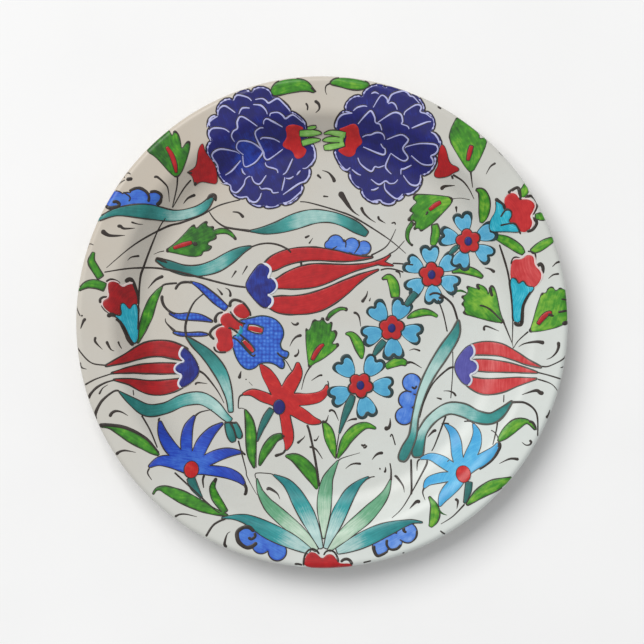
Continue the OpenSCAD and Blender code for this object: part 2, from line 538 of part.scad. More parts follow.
// ---- stems, grass leaves, fan and rosette ----
module flower_stems() {
    color("darkslategray") painted(1) blades([
        [[65, 34.6, 1.6], [67.6, 37.2, 2.6], [69.4, 38.8, 2]],
        [[48, 15, 3], [45.3, 11.6, 3.6], [42.8, 8.4, 2.2]],
        [[31.8, -9.6, 3], [28.8, -13.4, 3.4], [26.4, -17, 1.6]],
        [[15.8, -37.5, 2.8], [14, -42, 4], [12, -47, 3.4], [10.3, -52, 2], [8.8, -57, 0.6]],
        [[-67, -79.2, 4], [-65, -84, 3.8], [-61.2, -89.4, 1.2]],
        [[-25.6, -44.4, 3], [-28.5, -49, 3.6], [-31.3, -55, 2.6], [-33.2, -61, 0.6]],
        [[74.7, -81.2, 3.4], [74.1, -86.2, 3.4], [72.4, -92, 1.2]]]);
}
module left_grass_leaves() {
    color("forestgreen") painted() blades([
        [[-116, 35.4, 1.4], [-117.2, 31, 3.4], [-115.2, 27, 3.8], [-112.4, 22.6, 3.6]],
        [[-124, 15.8, 0.6], [-119.4, 19, 3.4], [-114.5, 19.2, 4.4], [-110.2, 17.6, 4.2]],
        [[-94, -10.8, 0.5], [-91.8, -4, 3.6], [-89.3, 3, 5.4], [-86.8, 10, 4.6], [-84, 15, 2.8],
            [-81.6, 18.2, 0.6]],
        [[-113.8, -53, 1], [-108, -53, 2.2], [-102.5, -55.4, 4.2], [-97, -58.4, 5.6],
            [-91.5, -61.6, 5.2], [-86.5, -65, 3.8], [-83, -67.6, 1]],
        [[-85.8, -87.4, 0.6], [-84.4, -85.2, 1.2], [-82, -84.5, 2.2], [-78.3, -85.7, 4.4],
            [-71.3, -88.8, 6.2], [-63.3, -92.6, 5.8], [-55.8, -96, 3.6], [-47.9, -98.3, 0.8]],
        [[-54, -79.8, 1], [-55.8, -84, 2.6], [-54.5, -88.5, 4], [-52, -92.5, 3.8],
            [-49, -96.6, 2.6]],
        [[-39.4, -44.6, 0.6], [-37.3, -50, 3.8], [-36.4, -56, 5.2], [-36.2, -62, 5.2],
            [-36, -68, 4.2], [-34.6, -74.6, 0.8]],
        [[-20.4, -58.2, 2.6], [-24, -59.4, 4], [-27, -62.8, 4.6], [-29.8, -67.5, 4],
            [-32, -73.4, 1]],
        [[-18.6, -68.4, 0.8], [-14, -69.4, 4.4], [-9.5, -72.8, 6.4], [-6, -77, 6.4],
            [-3.9, -81, 4.4], [-2.6, -85.4, 1]]]);
}
module right_grass_leaves() {
    color("forestgreen") painted() blades([
        [[0.4, -50.6, 0.6], [2.8, -55, 4.4], [4.2, -60, 5.2], [5.6, -65, 3.4], [7, -69.4, 0.8]],
        [[27.6, -54.4, 1], [22.5, -52.8, 3.2], [17.5, -55, 5], [13.2, -59.3, 5.2], [10.6, -64, 3.8],
            [8, -69.6, 0.8]],
        [[30.8, 22, 0.8], [34, 23, 3], [36.2, 20, 4.8], [37.2, 16, 5], [37.4, 12.6, 3.8]],
        [[43.5, 2, 0.8], [47.5, 3.9, 3.2], [52, 5, 3.4], [56, 4.4, 2.2], [59, 2.8, 1.4]],
        [[32.6, -23, 2.6], [37, -20.8, 4.2], [40.6, -20.2, 3.6], [43.2, -21.4, 2.4]],
        [[12, -6, 0.8], [15, -6.4, 2.8], [17.8, -9.8, 4.6], [19.5, -14, 4.4], [20.4, -18.8, 1]],
        [[108.4, -54.6, 0.8], [104.4, -50.6, 2], [99.5, -51.6, 5.2], [95.5, -54.6, 5.6],
            [92, -58, 4], [89.4, -60.6, 1]],
        [[54.6, -89, 0.8], [56.8, -93, 3.4], [57.4, -97, 4.8], [56.6, -101, 4.2], [55, -104, 1.6]],
        [[73.6, -92.8, 1], [76.8, -89.9, 3.4], [80.3, -87, 5.2], [85.8, -83.8, 6.2],
            [91, -81.6, 4.6], [96.6, -79.1, 0.8]],
        [[57.5, 49.8, 3], [58.2, 46, 4], [57.4, 42, 4], [56.4, 39.2, 2.4]],
        [[78.6, 67.4, 0.8], [81.2, 66.2, 3.4], [82.6, 62.5, 5.2], [82.8, 58, 5.4], [82.2, 53.5, 4],
            [81.2, 50.8, 1.4]],
        [[88.3, 43.6, 2.4], [92.5, 42, 4.2], [97, 39.4, 4.6], [100.5, 36.8, 4], [102.4, 34.8, 2]],
        [[118.2, 42.4, 2], [113.5, 40, 4.2], [109.5, 37.5, 4], [106.4, 35.8, 2]],
        [[66.5, 25.4, 0.8], [70.5, 26.6, 3], [75, 26.2, 3.8], [79, 24.8, 3.2], [82, 22.9, 1.4]],
        [[100.8, 63.8, 2.6], [102.8, 66.4, 4], [103.4, 70.6, 1]],
        [[108.4, 53.6, 2.4], [111.4, 53.6, 3.8], [114.2, 53, 2.6]]]);
}
module fan_teal_blades() {
    color("lightseagreen") painted(1) blades([
        [[-25, -78, 0.5], [-18.8, -81.6, 3.8], [-14.9, -85.9, 6], [-12, -90.8, 7.4],
            [-8.6, -96.7, 7.8], [-5.9, -101.9, 7], [-2.9, -108.5, 4.8], [-0.4, -115, 2]],
        [[24, -79, 0.5], [19, -82.2, 2.8], [14.7, -87, 5.6], [11.7, -92, 6.6], [8.7, -98, 7.2],
            [6.2, -104, 6], [3.6, -110, 3.8], [1.8, -115, 2]],
        [[-51, -99.6, 0.5], [-45, -99.2, 2.2], [-39, -100.2, 4.4], [-33, -103, 6.6],
            [-27, -106.2, 8], [-21, -109, 8], [-15, -111.8, 7], [-10, -114.4, 5], [-6, -116.5, 3]],
        [[51, -101.8, 0.5], [46, -101.4, 1.8], [41, -102.6, 3.8], [35.5, -104.4, 6],
            [30, -106.5, 7.4], [24.5, -109, 8], [18.5, -111.8, 7.4], [12.5, -114.5, 5.4],
            [7.5, -116.5, 3]]]);
}
module fan_green_blades() {
    color("mediumseagreen") painted() blades([
        [[8.3, -70.6, 0.5], [5.2, -75.8, 3.2], [2.8, -80.5, 5.2], [1.8, -86, 6.8], [1.2, -92, 7.2],
            [1, -98, 6.2], [0.9, -104, 3.6], [0.8, -110, 1]],
        [[-33.3, -80, 0.5], [-31.6, -86.5, 2.8], [-28.4, -91.8, 4.8], [-25.4, -95.2, 6.2],
            [-19.9, -100, 6.8], [-14.8, -104.2, 6.6], [-9.5, -109.1, 6], [-5, -113.5, 4],
            [-2.6, -116, 2]],
        [[35.2, -80, 0.5], [33, -86.5, 3.2], [29.5, -91.5, 5.2], [25.3, -96, 6.8],
            [20.5, -100.5, 7.2], [15.5, -104.5, 6.8], [10.5, -109, 6], [6, -113, 4.2],
            [3.2, -116, 2]]]);
}
module foot_rosette() {
    color("firebrick") painted(2) soft_outline([[-9.4, -125.2], [-8.6, -119.4], [-6.4, -116.8],
        [-3, -117.2], [0, -120.6], [2.4, -118], [5.4, -118], [7.4, -120.6], [8.6, -122.8],
        [15, -122.6], [15.6, -124.6]]);
}

clay_body();
white_slip();
back_glaze();
foot_well_glaze();
left_carnation_petals();
right_carnation_petals();
carnation_calyxes();
carnation_sepals();
rim_buds();
rim_leaves();
serrated_leaf_upper_left();
serrated_leaf_left();
serrated_leaf_middle();
serrated_leaf_upper_right();
serrated_leaf_right();
serrated_leaf_low_right();
serrated_leaf_rim();
serrated_leaf_veins();
saz_leaf_rim();
saz_leaf_left();
saz_leaf_middle();
saz_leaf_left_tall();
saz_leaf_left_long();
saz_leaf_right_tall();
saz_leaf_right_long();
left_tulip_petals();
middle_tulip_petals();
right_tulip_petals();
left_tulip_cup();
middle_tulip_cup();
right_tulip_cup();
top_blossom_petals();
second_blossom_petals();
third_blossom_petals();
low_blossom_petals();
blossom_stars();
blossom_eyes();
red_star_petals();
blue_star_petals();
sky_star_petals();
cobalt_star_eye();
red_star_eyes();
left_rose_petals();
upper_rose_petals();
lower_rose_petals();
rose_calyxes();
cloud_rim_left();
cloud_top();
cloud_right();
cloud_low_left();
cloud_low_right();
hyacinth_tendrils();
hyacinth_petals();
hyacinth_crown();
flower_stems();
left_grass_leaves();
right_grass_leaves();
fan_teal_blades();
fan_green_blades();
foot_rosette();
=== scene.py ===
"""Looks of a hand painted plate: a turned body, painted fields, outlines and brush strokes."""

import math

import bpy
import numpy as np
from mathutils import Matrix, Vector, noise
from mathutils.bvhtree import BVHTree
from mathutils.geometry import delaunay_2d_cdt
from mathutils.kdtree import KDTree


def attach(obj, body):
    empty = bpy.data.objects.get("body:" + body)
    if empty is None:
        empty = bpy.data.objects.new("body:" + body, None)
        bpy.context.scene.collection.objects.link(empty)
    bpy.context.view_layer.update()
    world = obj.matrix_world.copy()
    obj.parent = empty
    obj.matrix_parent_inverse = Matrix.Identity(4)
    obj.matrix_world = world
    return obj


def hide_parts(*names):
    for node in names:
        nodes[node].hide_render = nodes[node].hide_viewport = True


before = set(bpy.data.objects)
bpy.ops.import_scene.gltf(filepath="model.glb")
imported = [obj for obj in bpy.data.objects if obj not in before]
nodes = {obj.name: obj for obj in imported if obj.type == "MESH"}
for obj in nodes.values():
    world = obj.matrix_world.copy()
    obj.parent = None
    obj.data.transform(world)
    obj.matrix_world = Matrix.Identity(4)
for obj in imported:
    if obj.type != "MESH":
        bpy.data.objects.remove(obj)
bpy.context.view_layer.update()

# Lengths in this script are in millimetres in the plate's frame, and become metres in make_mesh.
MM = 0.001
PAINT_T = 0.15        # thickness of one painted layer
EDGE_LIFT = 0.05      # height at which the edge of a field starts
EDGE_ROUND = 0.42     # width over which a field's edge rounds up to its full height
SUNK = 0.03           # how deep fields and strokes reach into the slip
LINE_RISE = 0.06      # how far a brush line stands over what it crosses
FIELD_STEP = 0.85     # spacing of the points inside a field
EDGE_STEP = 0.45      # spacing of the points along its edge
PAINTED_R = 124.7     # the paint stops here, on the lip
UNLINED_R = 124.2     # outlines stop here, where the design runs over the edge
SEGMENTS = 384        # segments of the turned pieces
SECTION_STEP = 1.1    # spacing of the points along their section
FACE_STEP = 0.6       # the same where paint is laid on the face
STRAIGHT_RUN = 5.0    # longer runs of the section are straight
SHARP_BEND = 24       # degrees: sharper corners of the section stay
ON_AXIS = 0.001       # what is closer to the axis is on it
HAND_START_R = 70     # the unevenness of the hand starts here and grows to the lip
HAND_RUN = 55
HAND_WAVES = ((2, 0.16, 0.7), (3, 0.06, 2.1), (7, 0.03, 0.0))   # waves round, height, phase
LINE_STEP = 0.45      # spacing of the points along a brush stroke
OUTLINE_STEP = 0.4    # and along an outline
TINY = 1e-9           # keeps a division from going through zero


def spline(before, a, b, after, t):
    """The point at t between a and b on a smooth curve through all four points."""
    return a + 0.5 * t * ((b - before) + t * ((2 * before - 5 * a + 4 * b - after)
                                              + t * (3 * a - before - 3 * b + after)))


def left_of(way):
    """Unit vectors to the left of these directions."""
    way = way / np.maximum(np.linalg.norm(way, axis=1, keepdims=True), TINY)
    return np.stack([-way[:, 1], way[:, 0]], 1)


# ---- the turned body ----
def section_of(node):
    """The node's section in the half-plane y = 0, x > 0, as a chain of (radius, height)."""
    mesh = nodes[node].data
    flat = {v.index: (v.co.x / MM, v.co.z / MM) for v in mesh.vertices
            if abs(v.co.y) < 1e-7 and v.co.x > -1e-7}
    links = {}
    for e in mesh.edges:
        a, b = (flat.get(i) for i in e.vertices)
        if a is None or b is None:
            continue
        a, b = (tuple(round(c, 4) for c in p) for p in (a, b))
        if a != b and not (a[0] < ON_AXIS and b[0] < ON_AXIS):
            links.setdefault(a, set()).add(b)
            links.setdefault(b, set()).add(a)
    ends = sorted(p for p, near in links.items() if len(near) == 1)
    for p in ends:
        level = [q for q in ends if q != p and abs(q[1] - p[1]) < 2 * ON_AXIS]
        other = level[0] if level else (0.0, p[1])
        links[p].add(other)
        links.setdefault(other, set()).add(p)
    ends = sorted(p for p, near in links.items() if len(near) == 1)
    here = ends[0] if ends else min(links)
    chain, seen = [here], {here}
    while True:
        ahead = sorted(p for p in links[here] if p not in seen)
        if not ahead:
            break
        here = ahead[0]
        chain.append(here)
        seen.add(here)
    if not ends:
        chain.append(chain[0])
    return chain


def turn(a, b, c):
    """Angle between a-b and b-c, in degrees."""
    u, v = b - a, c - b
    return abs(math.degrees(math.atan2(u[0] * v[1] - u[1] * v[0], u @ v)))


def refined(chain, step):
    """The chain with shallow bends made into curves and long runs divided. Sharp corners stay."""
    p = [np.array(q, float) for q in chain]
    closed = np.allclose(p[0], p[-1])
    n, out = len(p), []

    def neighbour(i, j):
        if closed:
            return p[(j - 1) % (n - 1)] if j < 0 else p[j % (n - 1)]
        return p[min(max(j, 0), n - 1)]

    def bends(i):
        a, b = neighbour(i, i - 1), neighbour(i, i + 1)
        return np.allclose(a, p[i]) or np.allclose(b, p[i]) or turn(a, p[i], b) > SHARP_BEND

    for i in range(n - 1):
        a, b = p[i], p[i + 1]
        length = np.linalg.norm(b - a)
        before = 2 * a - b if bends(i) else neighbour(i, i - 1)
        after = 2 * b - a if bends(i + 1) else neighbour(i, i + 2)
        before = a + (before - a) * length / max(np.linalg.norm(before - a), TINY)
        after = b + (after - b) * length / max(np.linalg.norm(after - b), TINY)
        if length > STRAIGHT_RUN:
            before, after = 2 * a - b, 2 * b - a
        pieces = max(1, math.ceil(length / step))
        out += [spline(before, a, b, after, k / pieces) for k in range(pieces)]
    out.append(p[-1])
    return np.array(out)


def hand(x, y):
    """The slight unevenness of a plate turned and dried by hand, in height. The foot stays true."""
    turned = np.arctan2(y, x)
    out = np.clip((np.hypot(x, y) - HAND_START_R) / HAND_RUN, 0, 1) ** 2
    return out * sum(height * np.cos(count * turned + phase) for count, height, phase in HAND_WAVES)


def face_of(section):
    """The upper half of the slip's section, from the axis to the lip."""
    lip = int(np.argmax(section[:, 0]))
    upper = max(section[:lip + 1], section[lip:][::-1],
                key=lambda half: half[np.argmin(half[:, 0]), 1])
    return upper[np.argsort(upper[:, 0], kind="stable")]


FACE = face_of(refined(section_of("white_slip"), FACE_STEP))
FACE_SLOPE = np.arctan(np.gradient(FACE[:, 1], FACE[:, 0] + 1e-7 * np.arange(len(FACE))))


def face_at(r):
    """Height and slope of the face at a radius."""
    return np.interp(r, FACE[:, 0], FACE[:, 1]), np.interp(r, FACE[:, 0], FACE_SLOPE)


def drape(x, y, height):
    """Points of the plate's frame, height above the face along its normal."""
    x, y = np.asarray(x, float), np.asarray(y, float)
    r = np.maximum(np.hypot(x, y), 1e-6)
    held = np.minimum(r, PAINTED_R)
    x, y = x * held / r, y * held / r
    z, slope = face_at(held)
    out = height * np.sin(slope) / held
    return np.stack([x - x * out, y - y * out, z + height * np.cos(slope) + hand(x, y)], 1)


def make_mesh(name, points, faces, material, attributes=None, replaces=()):
    """A smooth closed mesh from points in millimetres. It rides on the plate's only body."""
    mesh = bpy.data.meshes.new(name)
    mesh.from_pydata((np.asarray(points) * MM).tolist(), [], faces)
    mesh.update()
    mesh.polygons.foreach_set("use_smooth", np.ones(len(mesh.polygons), bool))
    for key, values in (attributes or {}).items():
        values = np.asarray(values, np.float32)
        kind, field = ("FLOAT", "value") if values.ndim == 1 else ("FLOAT_VECTOR", "vector")
        mesh.attributes.new(key, kind, "POINT").data.foreach_set(field, values.ravel())
    mesh.materials.append(material)
    obj = bpy.data.objects.new(name, mesh)
    bpy.context.scene.collection.objects.link(obj)
    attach(obj, "root")
    if replaces:
        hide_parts(*replaces)
    set_outward(mesh)


def revolve(name, node, material):
    """Replaces a turned CAD node by its section, turned about the axis in finer steps."""
    section = refined(section_of(node), SECTION_STEP)
    closed = np.allclose(section[0], section[-1])
    if closed:
        section = section[:-1]
    angle = np.linspace(0, 2 * math.pi, SEGMENTS, endpoint=False)
    points, rows = [], []
    for r, z in section:
        start = len(points)
        if r < ON_AXIS:
            points.append((0, 0, z))
            rows.append([start] * SEGMENTS)
            continue
        x, y = r * np.cos(angle), r * np.sin(angle)
        points.extend(np.stack([x, y, z + hand(x, y)], 1).tolist())
        rows.append(list(range(start, start + SEGMENTS)))
    faces, count = [], len(rows)
    for i in range(count if closed else count - 1):
        low, high = rows[i], rows[(i + 1) % count]
        for k in range(SEGMENTS):
            m = (k + 1) % SEGMENTS
            ring = (low[k], low[m], high[m], high[k])
            ring = [v for n, v in enumerate(ring) if v != ring[n - 1]]
            if len(ring) > 2:
                faces.append(ring)
    make_mesh(name, points, faces, material, replaces=[node])


def set_outward(mesh):
    """Turns all faces outward: a closed mesh has a positive volume."""
    mesh.calc_loop_triangles()
    co = np.array([v.co for v in mesh.vertices])
    t = np.array([tri.vertices for tri in mesh.loop_triangles])
    volume = np.einsum("ij,ij->i", co[t[:, 0]], np.cross(co[t[:, 1]], co[t[:, 2]])).sum()
    if volume < 0:
        mesh.flip_normals()


# ---- materials ----
FACE_ROUGHNESS, BACK_ROUGHNESS, CLAY_ROUGHNESS = 0.4, 0.28, 0.85
POOL_WIDTH = 1.1      # width of the band where paint pools along a field's edge
# The slip's warm colour is also painted shade at the upper left, and its cool colour painted light at
# the lower right
SLIP_WARM_SHADE, SLIP_MID, SLIP_COOL_LIGHT = (196, 186, 172), (202, 202, 196), (215, 221, 217)
WISP, SPECK = (168, 163, 152), (120, 108, 92)


def linear(rgb):
    """Linear colour, with alpha, of an 8-bit display colour."""
    return tuple((c / 12.92 if c <= 0.04045 else ((c + 0.055) / 1.055) ** 2.4)
                 for c in (v / 255 for v in rgb)) + (1.0,)


class Graph:
    """A small helper that adds and links shader nodes."""

    def __init__(self, name):
        self.material = bpy.data.materials.new(name)
        self.material.use_nodes = True
        self.tree = self.material.node_tree
        self.shader = self.tree.nodes["Principled BSDF"]

    def put(self, kind, inputs=None, **settings):
        made = self.tree.nodes.new(kind)
        for key, value in settings.items():
            setattr(made, key, value)
        for key, value in (inputs or {}).items():
            self.give(made.inputs[key], value)
        return made

    def give(self, socket, value):
        if isinstance(value, bpy.types.NodeSocket):
            self.tree.links.new(value, socket)
        else:
            socket.default_value = value

    def surface(self, values):
        """Values or links for sockets of the shader."""
        for key, value in values.items():
            self.give(self.shader.inputs[key], value)

    def math(self, operation, a, b=0.0, clamp=False):
        made = self.put("ShaderNodeMath", {0: a, 1: b}, operation=operation, use_clamp=clamp)
        return made.outputs[0]

    def swing(self, tone, factor, middle, share):
        """The tone, with a share of how far the factor is from its middle."""
        away = self.math("SUBTRACT", factor, middle)
        return self.math("ADD", tone, self.math("MULTIPLY", away, share))

    def attribute(self, name, output="Fac"):
        return self.put("ShaderNodeAttribute", attribute_name=name).outputs[output]

    def place(self):
        """The position on the plate, in millimetres."""
        where = self.put("ShaderNodeTexCoord").outputs["Object"]
        return self.put("ShaderNodeVectorMath", {0: where, "Scale": 1 / MM},
                        operation="SCALE").outputs[0]

    def noise(self, vector, scale, detail=2.0):
        return self.put("ShaderNodeTexNoise", {"Vector": vector, "Scale": scale, "Detail": detail,
                                               "Roughness": 0.5}).outputs["Fac"]

    def ramp(self, factor, stops):
        made = self.put("ShaderNodeValToRGB", {"Fac": factor})
        band = made.color_ramp
        while len(band.elements) < len(stops):
            band.elements.new(0.5)
        for element, (spot, colour) in zip(band.elements, stops):
            element.position = spot
            element.color = linear(colour)
        return made.outputs["Color"]

    def blend(self, factor, ground, rgb):
        """The ground with some of a plain colour mixed into it."""
        made = self.put("ShaderNodeMix", data_type="RGBA")
        factor_in, ground_in, colour_in = made.inputs[0], made.inputs[6], made.inputs[7]
        self.give(factor_in, factor)
        self.give(ground_in, ground)
        colour_in.default_value = linear(rgb)
        return made.outputs[2]

    def bump(self, height, strength, distance):
        made = self.put("ShaderNodeBump", {"Height": height, "Strength": strength,
                                           "Distance": distance * MM})
        self.surface({"Normal": made.outputs[0]})

    def glaze(self, roughness):
        """The clear glaze: soft, with a slow change of gloss over the plate."""
        change = self.math("MULTIPLY", self.noise(self.place(), 0.08, 3.0), 0.12)
        self.surface({"IOR": 1.5, "Specular IOR Level": 0.42, "Coat Weight": 0.1,
                      "Coat Roughness": 0.26,
                      "Roughness": self.math("ADD", change, roughness - 0.06)})


def paint(name, dark, mid, light, streak, blotch, pool=0.2, across=1.6, scales=0.0):
    """Brushed colour under the glaze: streaks along the stroke, blotches, darker pooled edges.

    across is how fine the streaks are, and scales is how strong a scale pattern shows."""
    g = Graph(name)
    place = g.place()
    grain = g.put("ShaderNodeMapping", {"Vector": g.attribute("grain", "Vector"),
                                        "Scale": (0.12, across, 1.0)}).outputs[0]
    streaks = g.noise(grain, 1.0, 3.0)
    blotches = g.noise(place, 0.28, 3.0)
    fine = g.noise(place, 2.2)
    tone = g.swing(g.attribute("tone"), streaks, 0.5, streak * 2)
    tone = g.swing(tone, blotches, 0.5, blotch * 2)
    tone = g.swing(tone, fine, 0.5, 0.18)
    if pool:
        inward = g.math("MULTIPLY", g.attribute("edge"), 1 / POOL_WIDTH, clamp=True)
        tone = g.swing(tone, inward, 1.0, pool)
    if scales:
        cells = g.put("ShaderNodeTexVoronoi", {"Vector": place, "Scale": 0.5, "Randomness": 0.35},
                      feature="F1").outputs["Distance"]
        tone = g.swing(tone, cells, 0.42, -scales)
    tone = g.math("ADD", tone, 0.0, clamp=True)
    g.surface({"Base Color": g.ramp(tone, [(0.0, dark), (0.5, mid), (1.0, light)])})
    g.glaze(FACE_ROUGHNESS)
    g.bump(g.math("ADD", streaks, fine), 0.25, 0.02)
    return g.material


def slip_material():
    """White slip under clear glaze, with slow random clouds and fine specks. Its colour runs from warm
    and darker at the upper left to cool and lighter at the lower right: painted shade and painted
    light.
    """
    g = Graph("slip")
    place = g.place()
    split = g.put("ShaderNodeSeparateXYZ", {"Vector": place}).outputs
    # Painted light and shade: the slip is darker and warmer towards the upper left, lighter and cooler
    # towards the lower right
    painted_light_and_shade = g.math("MULTIPLY", g.math("SUBTRACT", split["X"], split["Y"]), 1 / 340)
    cloudy = g.noise(place, 0.02, 3.0)
    tone = g.math("ADD", g.math("ADD", painted_light_and_shade, 0.2), g.math("MULTIPLY", cloudy, 0.6), clamp=True)
    ground = g.ramp(tone, [(0.0, SLIP_WARM_SHADE), (0.5, SLIP_MID), (1.0, SLIP_COOL_LIGHT)])
    ground = g.blend(g.math("MULTIPLY", g.noise(place, 0.35, 4.0), 0.12), ground, WISP)
    speck = g.math("GREATER_THAN", g.noise(place, 1.9), 0.735)
    ground = g.blend(g.math("MULTIPLY", speck, 0.3), ground, SPECK)
    g.surface({"Base Color": ground})
    g.glaze(FACE_ROUGHNESS)
    g.bump(g.noise(place, 0.5, 3.0), 0.18, 0.04)
    return g.material


def clay_material():
    """Bare biscuit clay on the foot ring: warm, matt and gritty."""
    g = Graph("biscuit_clay")
    place = g.place()
    grit, cloudy = g.noise(place, 2.6, 4.0), g.noise(place, 0.12)
    tone = g.math("ADD", g.math("MULTIPLY", grit, 0.6), g.math("MULTIPLY", cloudy, 0.4))
    g.surface({"Roughness": CLAY_ROUGHNESS,
               "Base Color": g.ramp(tone, [(0.3, (170, 128, 96)), (0.5, (200, 160, 126)),
                                           (0.7, (222, 190, 158))])})
    g.bump(grit, 0.6, 0.12)
    return g.material


def back_material():
    """Thin clear glaze on the back, greyer than the slip, with drips and pinholes."""
    g = Graph("back_glaze")
    place = g.place()
    cloudy, specks = g.noise(place, 0.05, 4.0), g.noise(place, 1.4, 3.0)
    tone = g.math("ADD", g.math("MULTIPLY", cloudy, 0.8), g.math("MULTIPLY", specks, 0.25))
    g.surface({"Base Color": g.ramp(tone, [(0.3, (196, 188, 172)), (0.5, (212, 207, 195)),
                                           (0.75, (222, 219, 210))])})
    g.glaze(BACK_ROUGHNESS)
    g.bump(g.math("ADD", cloudy, g.math("MULTIPLY", specks, 0.3)), 0.35, 0.12)
    return g.material


# Each paint: dark, middle and light colour, then streak, blotch, pool, across and scales.
LINE_BRUSH = (0.3, 0.3, 0.0, 2.4)
PAINTS = {name: paint(name, *spec) for name, spec in {
    "cobalt": ((19, 18, 80), (24, 25, 110), (30, 64, 172), 0.35, 0.45, 0.1),
    "violet": ((62, 58, 140), (88, 86, 168), (128, 128, 195), 0.4, 0.4),
    "royal": ((18, 40, 138), (28, 70, 184), (72, 124, 216), 0.4, 0.3),
    "cloud": ((36, 78, 186), (70, 124, 212), (124, 164, 230), 0.35, 0.5, 0.35),
    "crown": ((24, 58, 164), (48, 108, 208), (112, 160, 230), 0.2, 0.25, 0.3, 1.6, 1.1),
    "sky": ((56, 138, 184), (80, 165, 202), (124, 194, 224), 0.35, 0.4, -0.35),
    "azure": ((50, 141, 202), (68, 164, 214), (106, 192, 228), 0.4, 0.35, -0.1),
    "turquoise": ((20, 130, 152), (32, 172, 196), (115, 212, 226), 0.6, 0.35),
    "red": ((138, 10, 18), (180, 16, 24), (204, 42, 42), 0.4, 0.45, 0.1),
    "bright_red": ((156, 16, 24), (190, 26, 28), (214, 72, 58), 0.3, 0.5, -0.1),
    # pale_red: a paler red. On the right tulip, with its strong streaks, it is a painted highlight, the
    # glare of a light
    "pale_red": ((178, 30, 35), (200, 62, 64), (216, 100, 98), 0.75, 0.3, 0.1, 1.1),
    "leaf": ((28, 86, 20), (62, 142, 26), (136, 188, 54), 0.4, 0.6, 0.3, 0.9),
    "pale_leaf": ((72, 144, 52), (118, 182, 78), (164, 212, 124), 0.5, 0.5),
    "teal": ((20, 104, 100), (62, 152, 148), (180, 212, 206), 0.18, 0.2, 0.12, 1.3),
    "stem_teal": ((20, 72, 74), (36, 112, 106), (64, 144, 134), 0.4, 0.3),
    "fan_teal": ((16, 112, 116), (46, 152, 154), (176, 206, 202), 0.4, 0.2, 0.1, 1.5),
    "fan_green": ((52, 126, 84), (104, 164, 128), (188, 210, 190), 0.4, 0.2, 0.1, 1.5),
    "ink": ((34, 26, 22), (52, 43, 37), (100, 92, 82), *LINE_BRUSH),
    # A lighter, greyer ink for outlines in the lower right: a painted highlight where the glare of a
    # light washes them out
    "glare_grey_ink": ((62, 60, 54), (84, 84, 78), (120, 118, 110), *LINE_BRUSH),
    "deep_teal_ink": ((20, 38, 40), (34, 56, 58), (80, 96, 96), *LINE_BRUSH),
    "lavender": ((160, 162, 214), (186, 188, 228), (212, 214, 236), *LINE_BRUSH),
    "white": ((196, 200, 214), (212, 215, 222), (224, 225, 226), *LINE_BRUSH),
    "blush": ((214, 186, 186), (224, 204, 202), (230, 222, 218), *LINE_BRUSH),
}.items()}


# ---- painted fields ----
FACING_UP = 0.3       # least upward part of the normal on the top of a field
SMALLEST_AREA = 0.2   # smaller loops are left out, in square millimetres
LAYERS_TOLD_R = 120   # the layer of a field is told within this radius
FINE_STEP = 0.12      # spacing of the points that distances to the edge are measured to
RING_IN = 0.2         # the row of points just inside the edge
RING_GAP = 0.15       # how far that row stays from the edge
GRID_GAP = 0.5        # how far the inner points stay from it
ROW = 0.866           # height of a triangle with sides of 1
UNEVEN = 0.012        # unevenness of the top of a field
EDGE_REACH = 2        # the distance to the edge is told up to here
BATCH = 4000          # points tested at a time


def top_loops(node):
    """Closed loops round the top of a painted CAD node, in millimetres, and its layer."""
    mesh = nodes[node].data
    number = {}
    index = [number.setdefault(tuple(round(c / MM, 3) for c in v.co), len(number))
             for v in mesh.vertices]
    points = list(number)
    faces = []
    mesh.calc_loop_triangles()
    for tri in mesh.loop_triangles:
        t = [index[i] for i in tri.vertices]
        if len(set(t)) == 3:
            a, b, c = (np.array(points[i]) for i in t)
            normal = np.cross(b - a, c - a)
            size = np.linalg.norm(normal)
            if size > TINY and normal[2] / size > FACING_UP:
                faces.append(t)
    ahead = {}
    for a, b in rim_edges(faces):
        ahead.setdefault(a, []).append(b)
    loops = []
    while ahead:
        first = next(iter(ahead))
        loop, here = [first], first
        while True:
            options = ahead.get(here)
            if not options:
                break
            step = options.pop()
            if not options:
                del ahead[here]
            here = step
            if here == first:
                break
            loop.append(here)
        flat = np.array([points[i][:2] for i in loop])
        if len(loop) > 5 and abs(area(flat)) > SMALLEST_AREA:
            loops.append(flat)
    tops = np.array([points[t[0]] for t in faces])
    r = np.hypot(tops[:, 0], tops[:, 1])
    face_z, slope = face_at(r)
    rise = ((tops[:, 2] - face_z) * np.cos(slope))[r < LAYERS_TOLD_R]
    return loops, max(int(round(float(np.median(rise)) / PAINT_T)) - 1, 0)


def rim_edges(faces):
    """The edges that only one of the faces has, in order."""
    edges = {(t[k], t[(k + 1) % 3]): None for t in faces for k in range(3)}
    return [(a, b) for a, b in edges if (b, a) not in edges]


def area(loop):
    """Area of a closed loop, positive if it runs counterclockwise."""
    x, y = loop[:, 0], loop[:, 1]
    return 0.5 * float(np.sum(x * np.roll(y, -1) - y * np.roll(x, -1)))


def resampled(loop, step):
    """The closed loop with points about step apart, its corners kept."""
    out = [loop[0]]
    for p in np.roll(loop, -1, 0):
        start = out[-1]
        gap = np.linalg.norm(p - start)
        if gap < 0.25 * step:
            continue
        pieces = max(1, round(gap / step))
        out += [start + (p - start) * (k + 1) / pieces for k in range(pieces)]
    if np.linalg.norm(out[0] - out[-1]) < 0.25 * step:
        out.pop()
    return np.array(out)


